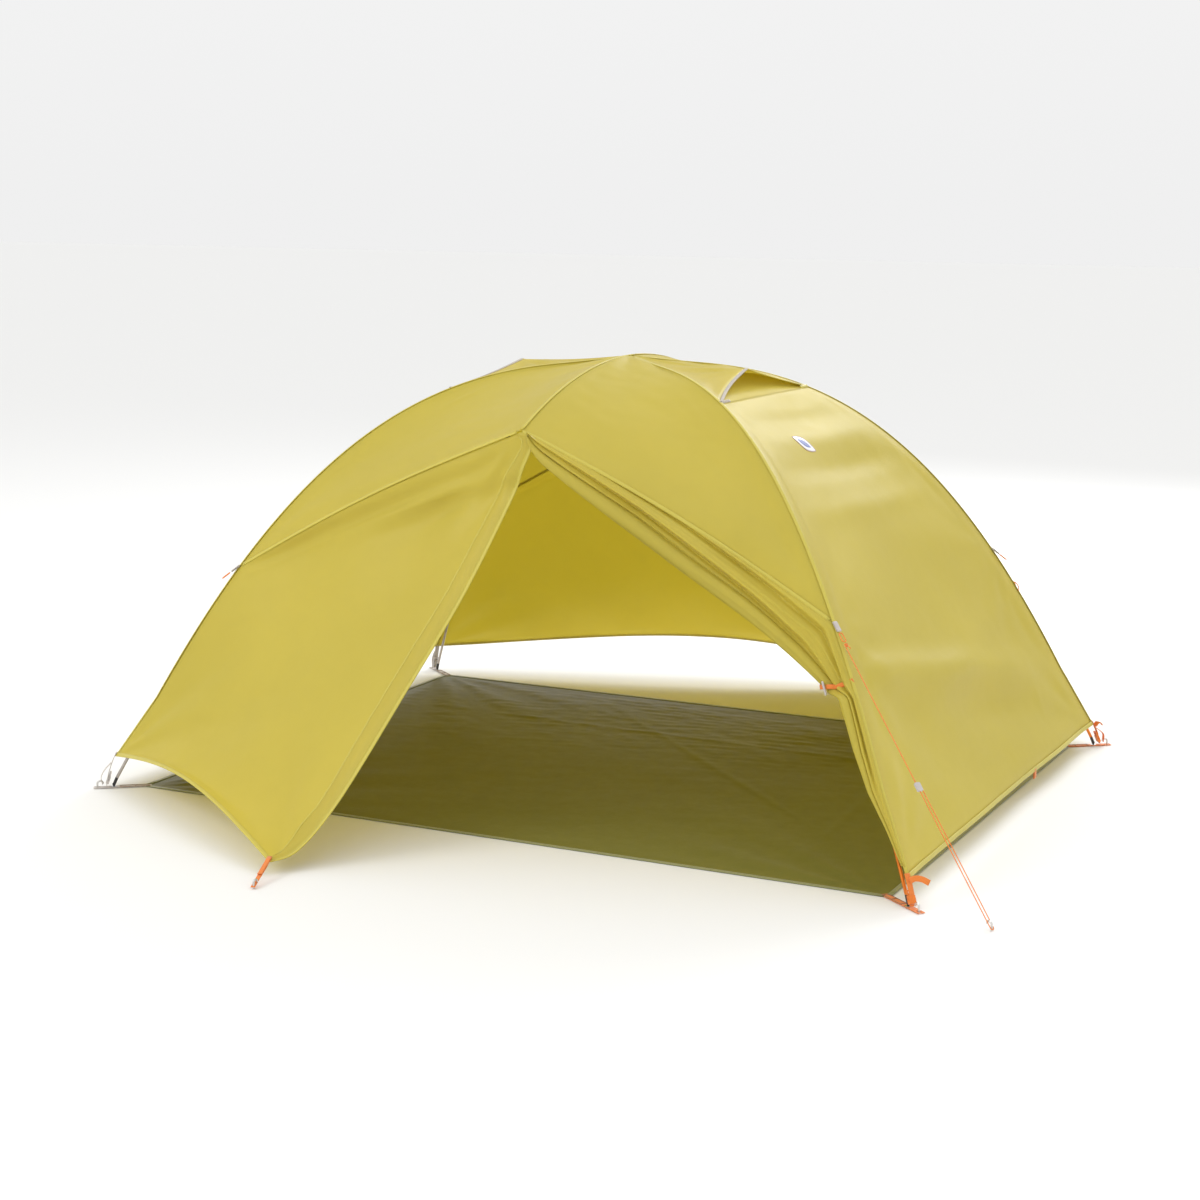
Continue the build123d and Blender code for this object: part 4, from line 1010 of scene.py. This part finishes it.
def make_vents():
    """Mesh under both hoods, and the hoods' mouths: grey binding in front, a plain hem behind."""
    parts = []
    for sx in (-1, 1):
        rows = [(seam_point(f, sx, -1, -MESH_DROP), seam_point(f, sx, 1, -MESH_DROP), 0)
                for f in stations(VENT_F - 0.004, 0.93, 26)]
        grid, away = bowed_rows(rows, 44, 0.01, 0.99), vec(sx, 0, 1)
        parts.append((grid - facing(grid, away) * (belly(grid, 0.6) * 0.012), away))
    # The mesh's colour is brighter than the fly's, as painted light against the hoods' shade.
    cloth_piece("vent_mesh_panels", parts, ["vent_mesh"], flat=(0.62, 1.30), held="stretched",
                area=flat_area(parts), rests_on=["fly_canopy"], look="mesh", slot="mesh")
    rims = {-1: [], 1: []}
    for (sx, sy), part in HOODS.items():
        path, normals = border(*part, 0)
        rims[sy].append((path + normals * 0.0006, normals, band_profile(0.010, 0.0028, 0.0005)))
        ends = [seam_point(VENT_F, sx, side) for side in (sy, -sy)]
        low = np.array([mix(*ends, s) for s in stations(0.004, 0.09, 10)]) + vec(sx * 0.001, 0, 0.0015)
        rims[sy].append((low, vec(sx, 0, 0.5), band_profile(0.009, 0.0024, 0.0005)))
    strips_piece("vent_rims", rims[-1], "grey_trim", "webbing_grey")
    strips_piece("vent_hems", rims[1], "fly_trim", "fly_fabric")


make_seams()
make_hems()
make_flaps()
make_zips()
make_vents()


# ------------ groundsheet
FOOT_L, FOOT_W = 2.286, 1.780
FOLD_LINES = ((-0.55, 0.86, 0.98, -0.60), (-1.12, 0.45, 1.12, 0.38), (0.72, 0.88, 0.84, -0.88))
BINDING_INSET = 0.006


def ground_grid():
    """The groundsheet: old fold lines, pull folds at its corners and wrinkles towards the back."""
    x, y = np.meshgrid(np.linspace(-FOOT_L / 2, FOOT_L / 2, 176), np.linspace(-FOOT_W / 2, FOOT_W / 2, 138))
    grid = np.stack([x, y, np.zeros_like(x)], axis=2)
    rise = ripples(grid, (0.5, 0.0007, 71), (0.13, 0.0003, 72))
    for k, (x0, y0, x1, y1) in enumerate(FOLD_LINES):
        rise += crease(grid, (x0, y0, 0), (x1, y1, 0), 0.009 + 0.002 * k, 0.0018)
    back = smooth((grid[..., 1:2] + 0.2) / 0.8)
    rise += back * (ripple(grid, 0.055, 0.0005, 73) + ripple(grid * vec(0.35, 1, 1), 0.04, 0.0005, 74))
    for k in range(9):
        start = vec(-0.9 + 0.17 * k, FOOT_W / 2 - 0.05 - 0.055 * k, 0)
        end = vec(0.35 + 0.09 * k, start[1] - 0.10 + 0.02 * k, 0)
        rise += crease(grid, start, end, 0.012, 0.0024 / (1 + 0.25 * k))
    for sx, sy in CORNERS.values():
        corner = vec(sx * FOOT_L / 2, sy * FOOT_W / 2, 0)
        rise += fan(grid, UP, corner, vec(0, 0, 0), 17, 0.22, 0.0022, 0.7)
    grid[..., 2] = 0.0012 + np.clip(rise[..., 0] + 0.0010, 0.0, 0.006) * edge_fade(grid, 0.035)[..., 0]
    return grid


def make_ground():
    cloth_piece("ground_sheet", [(ground_grid(), UP)], ["footprint"], flat=(FOOT_W, FOOT_L), held="laid",
                look="ground", slot="footprint_fabric", thickness=0.0008)
    # Binding round the border: real webbing whose paler grey-green colour is painted sheen.
    corners = [vec(sx * (FOOT_L / 2 - BINDING_INSET), sy * (FOOT_W / 2 - BINDING_INSET), 0.0026)
               for sx, sy in ((-1, -1), (1, -1), (1, 1), (-1, 1))]
    band = band_profile(0.014, 0.0016, 0.0003)
    strips = [([mix(a, b, t) for t in stations(0.004, 0.996, 40)], UP, band)
              for a, b in zip(corners, corners[1:] + corners[:1])]
    strips_piece("ground_sheet_binding", strips, "ground_trim", "footprint_fabric")


make_ground()


# ------------ webbing, cords and small parts
def ribbon(points, normals, width):
    """Soft strip of webbing through points, whose side turns through the normals on the way."""
    path, normals = smooth_line(points, 6), np.array(normals)
    marks = np.linspace(0, 1, len(normals))
    sides = [point_at(marks, normals, s) for s in np.linspace(0, 1, len(path))]
    return path, sides, band_profile(width, 0.0014, 0.0002)


def corner_frame(sx, sy):
    """Foot of a pole and the direction away from the hub."""
    return vec(sx * TIP_X, sy * TIP_Y, 0), outwards(sx, sy)


def strap_strips(sx, sy):
    """Strap from the fly's corner down over the buckle, its loose tail, and a second tail at one corner."""
    base, out = corner_frame(sx, sy)
    foot, top = base + out * 0.021 + UP * 0.008, base - out * 0.008 + UP * HEM_Z[sx]
    length = float(np.linalg.norm(top - foot))
    along = unit(top - foot)
    outer = unit(out - along * (out @ along))
    side = np.cross(along, outer)
    curl = unit(outer + UP * 0.15)

    def at(s, o, w=0.0):
        return foot + along * s + outer * o + side * w

    strips = [ribbon([at(length + 0.012, 0.002), at(length - 0.004, 0.0042), at(length * 0.72, 0.0052),
                      at(0.034, 0.0050), at(0.028, 0.0035)], [outer, outer], 0.016)]
    if (sx, sy) == (1, -1):                  # this tail stands off sideways
        tail = [at(length * 0.88, 0.0075), at(length * 0.94, 0.013, 0.012), at(length * 0.88, 0.020, 0.027),
                at(length * 0.70, 0.027, 0.043)]
        slanted = unit(outer - 0.45 * side)
        strips.append(ribbon(tail, [outer, slanted, slanted], 0.015))
    else:
        tail = [at(length * 0.75, 0.0075), at(length * 0.5, 0.018), at(0.020, 0.022), at(0, 0.012)]
        strips.append(ribbon(tail, [outer, curl], 0.015))
    if (sx, sy) == (1, 1):
        fold = [at(length * 0.88, 0.0075), at(length * 0.96, 0.014, -0.006),
                at(length * 0.92, 0.024, -0.010), at(length * 0.80, 0.026, -0.011)]
        strips.append(ribbon(fold, [outer, curl], 0.015))
    return strips


def tab_stitches(sx, sy):
    """Stitching on a corner tab: two rows along it and three bars across."""
    base, out = corner_frame(sx, sy)
    across = np.cross(UP, out)
    rows = [([base + out * o + across * w + UP * 0.0045 for o in stations(-0.104, -0.016, 22)],
             UP, band_profile(0.0016, 0.0011)) for w in (-0.0088, 0.0088)]
    bars = [([base + out * o + across * w + UP * 0.0046 for w in stations(-0.008, 0.008, 8)],
             UP, band_profile(0.0014, 0.0010)) for o in (-0.100, -0.062, -0.020)]
    return rows + bars


def make_straps():
    for end, sx, tone in (("left", -1, "grey"), ("right", 1, "orange")):
        straps, stitches = (of(sx, -1) + of(sx, 1) for of in (strap_strips, tab_stitches))
        slot = f"webbing_{tone}"
        strips_piece(f"strap_webbing_{end}", straps, f"{tone}_web", slot, f"fly_straps_{end}")
        strips_piece(f"tab_stitching_{end}", stitches, "thread", slot)


def folded_tab(root, along, normal, length, width, gap=0.0030):
    """Webbing folded double, with a rounded end."""
    along, normal = unit(along), unit(normal)
    flat, angles = stations(0, length - gap, 8), stations(0.3, pi - 0.3, 6)
    out = [root + along * s + normal * gap / 2 for s in flat]
    turn = [root + along * (length - gap + sin(a) * gap / 2) + normal * cos(a) * gap / 2 for a in angles]
    back = [root + along * s - normal * gap / 2 for s in flat[::-1]]
    normals = [normal] * 8 + [along * sin(a) + normal * cos(a) for a in angles] + [-normal] * 8
    return np.array(out + turn + back), normals, band_profile(width, 0.0013)


def make_tabs():
    """Webbing at the guyouts and the end walls' hems, and the vestibules' peg straps."""
    strips = []
    for sx, sy in CORNERS.values():
        root, along = guyout_frame(sx, sy)
        flat = np.cross(unit(np.cross(along, UP)), along)
        strips.append(folded_tab(root - along * 0.004, along, flat, 0.031, 0.014))
    strips_piece("guyout_webbing", strips, "grey_web", "webbing_grey", "guyout_tabs")
    strips = []
    for sx, (grid, _) in ENDS.items():
        hem = grid[0]
        root = hem[int(np.argmin(abs(hem[:, 1] - 0.27 * sx)))] + UP * 0.006
        strips.append(folded_tab(root, -UP, vec(sx, 0, 0), 0.030, 0.020))
    strips_piece("hem_tab_webbing", strips, "orange_web", "webbing_orange", "hem_tabs")
    strips = []
    for side in (-1, 1):
        turn = vec(side, side, 1)
        hem, ground = vec(*VEST) * turn, vec(*VEST_PEG) * turn
        run = ground - hem
        flat = unit(np.cross(np.cross(run, UP), run))
        lower = [hem - run * 0.08, hem + run * 0.3 - UP * 0.002, hem + run * 0.7, ground + run * 0.05]
        upper = [hem + run * t + flat * lift for t, lift in ((-0.06, 0.0022), (0.5, 0.0030), (0.62, 0.004))]
        strips += [ribbon(points, [flat, flat], 0.012) for points in (lower, upper)]
    strips_piece("vestibule_webbing", strips, "orange_web", "webbing_orange", "vestibule_straps")


BAND_DEPTH, BAND_REACH = 0.0228, 0.0200      # the tie-back's ring round the bundle, front to back and across
BAND_END = ((0.0232, 0.002), (0.0232, 0.018), (0.0205, 0.034))      # in front of the bundle and right of it


def make_band():
    """The tie-back in use: a ring round the gathered door and its end on the leg's seam."""
    along = unit(vec(0.15, -0.10, -1.0))
    front = vec(0, -1, 0.1)
    front = unit(front - along * (front @ along))
    side = np.cross(along, front)
    right = side * (-1 if side[0] < 0 else 1)
    angles = stations(0.0, 2 * pi * 0.985, 40)
    ring = [BUNDLE + front * BAND_DEPTH * cos(a) + side * BAND_REACH * sin(a) for a in angles]
    normals = [front * cos(a) + side * sin(a) for a in angles]
    end = [BUNDLE + front * depth + right * over for depth, over in BAND_END]
    end.append(seam_point(TIE_STATION - 0.006, 1, -1, 0.004))
    strips = [(ring, normals, band_profile(0.012, 0.0013)),
              ribbon(end, [front, front, unit(front + vec(0.6, 0, 0))], 0.012)]
    strips_piece("tieback_band", strips, "orange_web", "webbing_orange", "tieback_loops")


TIE_LOOP = ((0, 0.004, 0), (0.010, 0.006, 0.006), (0.017, 0.008, 0.020), (0.016, 0, 0.030),
            (0.014, -0.008, 0.019), (0.009, -0.006, 0.007), (0, -0.004, 0))    # out, across and down


def make_tie_loops():
    """The three free tie-backs: cord loops, outside at the right end and inside at the left end."""
    cords = []
    for sx, sy in CORNERS.values():
        if (sx, sy) == (1, -1):
            continue
        root = leg_point(TIE_F, sx, sy, STANDOFF + 0.0015 * sx)
        out = outwards(sx, sy) if sx > 0 else vec(-sx * DIAG[1], -sy * DIAG[0], 0)
        across = np.cross(out, UP)
        path = smooth_line([root + out * o + across * w - UP * down for o, w, down in TIE_LOOP], 6)
        cords.append((path, unit(across + 0.5 * out), round_profile(0.0014)))
    strips_piece("tieback_cords", cords, "cord", "cord_orange")


KNOT_TURNS, KNOT_PITCH, KNOT_R = 3.2, 0.0026, 0.0030


def make_knot():
    """The guyline's knot at the loop: three tight turns about the line and a free end."""
    root, along = guyout_frame(1, -1)
    side = unit(np.cross(along, UP))
    lift = np.cross(side, along)
    start = root + along * (LOOP_END - 0.0005)
    path = [start + along * KNOT_PITCH * a / (2 * pi) + (side * cos(a) + lift * sin(a)) * KNOT_R
            for a in stations(0, 2 * pi * KNOT_TURNS, 50)]
    path += [path[-1] + along * 0.004 + lift * 0.004, path[-1] + along * 0.010 + lift * 0.007 - UP * 0.002]
    strips_piece("guyline_knot", [(path, along, round_profile(CORD_R, 8))], "cord", "cord_orange")


PATCH_F, PATCH_Y = 0.508, -0.105             # the patch's middle: station up the end wall, and y
PATCH_DOWN, PATCH_OVER = 0.47, 0.883         # its long axis slants down towards the back


def make_patch():
    """Plain leaf-shaped patch: pale ground, a smaller leaf inside and a stitched rim."""
    grid, away = ENDS[1]
    n = facing(grid, away)
    middle_row = np.interp(PATCH_F, END_STATIONS, range(len(END_STATIONS)))
    line = grid[int(round(middle_row))]
    middle_col = float(np.interp(PATCH_Y, line[:, 1], range(len(line))))
    per_row = float(np.linalg.norm(grid[int(middle_row) + 1, 50] - grid[int(middle_row), 50]))
    per_col = float(abs(line[51, 1] - line[50, 1]))

    def on_grid(down, over, lift):
        row, col = middle_row - down / per_row, middle_col + over / per_col
        i, j = int(row), int(col)

        def between(g):
            low, high = (mix(g[k, j], g[k, j + 1], col - j) for k in (i, i + 1))
            return mix(low, high, row - i)

        return between(grid) + unit(between(n)) * lift

    def leaf(size, width, lift):
        points = []
        for s in np.linspace(-1, 1, 21):
            half = width * (1 - abs(s) ** 1.8) + 0.0006
            points.append([on_grid(s * size * PATCH_DOWN - w * half * PATCH_OVER,
                                   s * size * PATCH_OVER + w * half * PATCH_DOWN, lift)
                           for w in np.linspace(-1, 1, 9)])
        return np.array(points)

    base, inner = leaf(0.060, 0.021, 0.0012), leaf(0.034, 0.009, 0.0019)
    pale = sheet_object("patch_leaf_ground", [(base, away)], "patch", thickness=0.0008)
    mark = sheet_object("patch_leaf_mark", [(inner, away)], "patch_mark", thickness=0.0005)
    tent_piece(pale, "patch_print", "patch")
    tent_piece(mark, "patch_print")
    rim = np.concatenate([base[:, 0], base[::-1, -1]])
    strips_piece("patch_rim", [(rim, away, band_profile(0.003, 0.0012))], "patch_rim", "patch_print")


make_straps()
make_tabs()
make_band()
make_tie_loops()
make_knot()
make_patch()


# ------------ materials of the CAD's own pieces
NODE_MATERIALS = {
    "pole": [f"leg_{name}" for name in CORNERS] + ["brow_pole", "pole_sleeves"],
    "grey_pole": ["lower_sections_left"],
    "orange_pole": ["lower_sections_right"],
    "black_plastic": ["pole_tips", "hub_body", "hub_cap", "zip_slider_front", "zip_slider_back"],
    "elastic": ["shock_cords"],
    "steel": [f"peg_{name}" for name in (*CORNERS, "vestibule_front", "vestibule_back", "guyline")]
             + ["hub_screws", "grommets"],
    "grey_web_solid": ["corner_tabs_left"],
    "orange_web_solid": ["corner_tabs_right"],
    "grey_plastic": ["buckle_sockets_left", "buckle_clip_front_left", "buckle_clip_back_left",
                     "line_tensioner", "tieback_toggle"],
    "orange_plastic": ["buckle_sockets_right", "buckle_clip_front_right", "buckle_clip_back_right"],
    "cord": ["guyout_loops"],
}


def paint_nodes():
    for look, names in NODE_MATERIALS.items():
        for name in names:
            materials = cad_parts[name].data.materials
            materials.clear()
            materials.append(MAT[look])


paint_nodes()
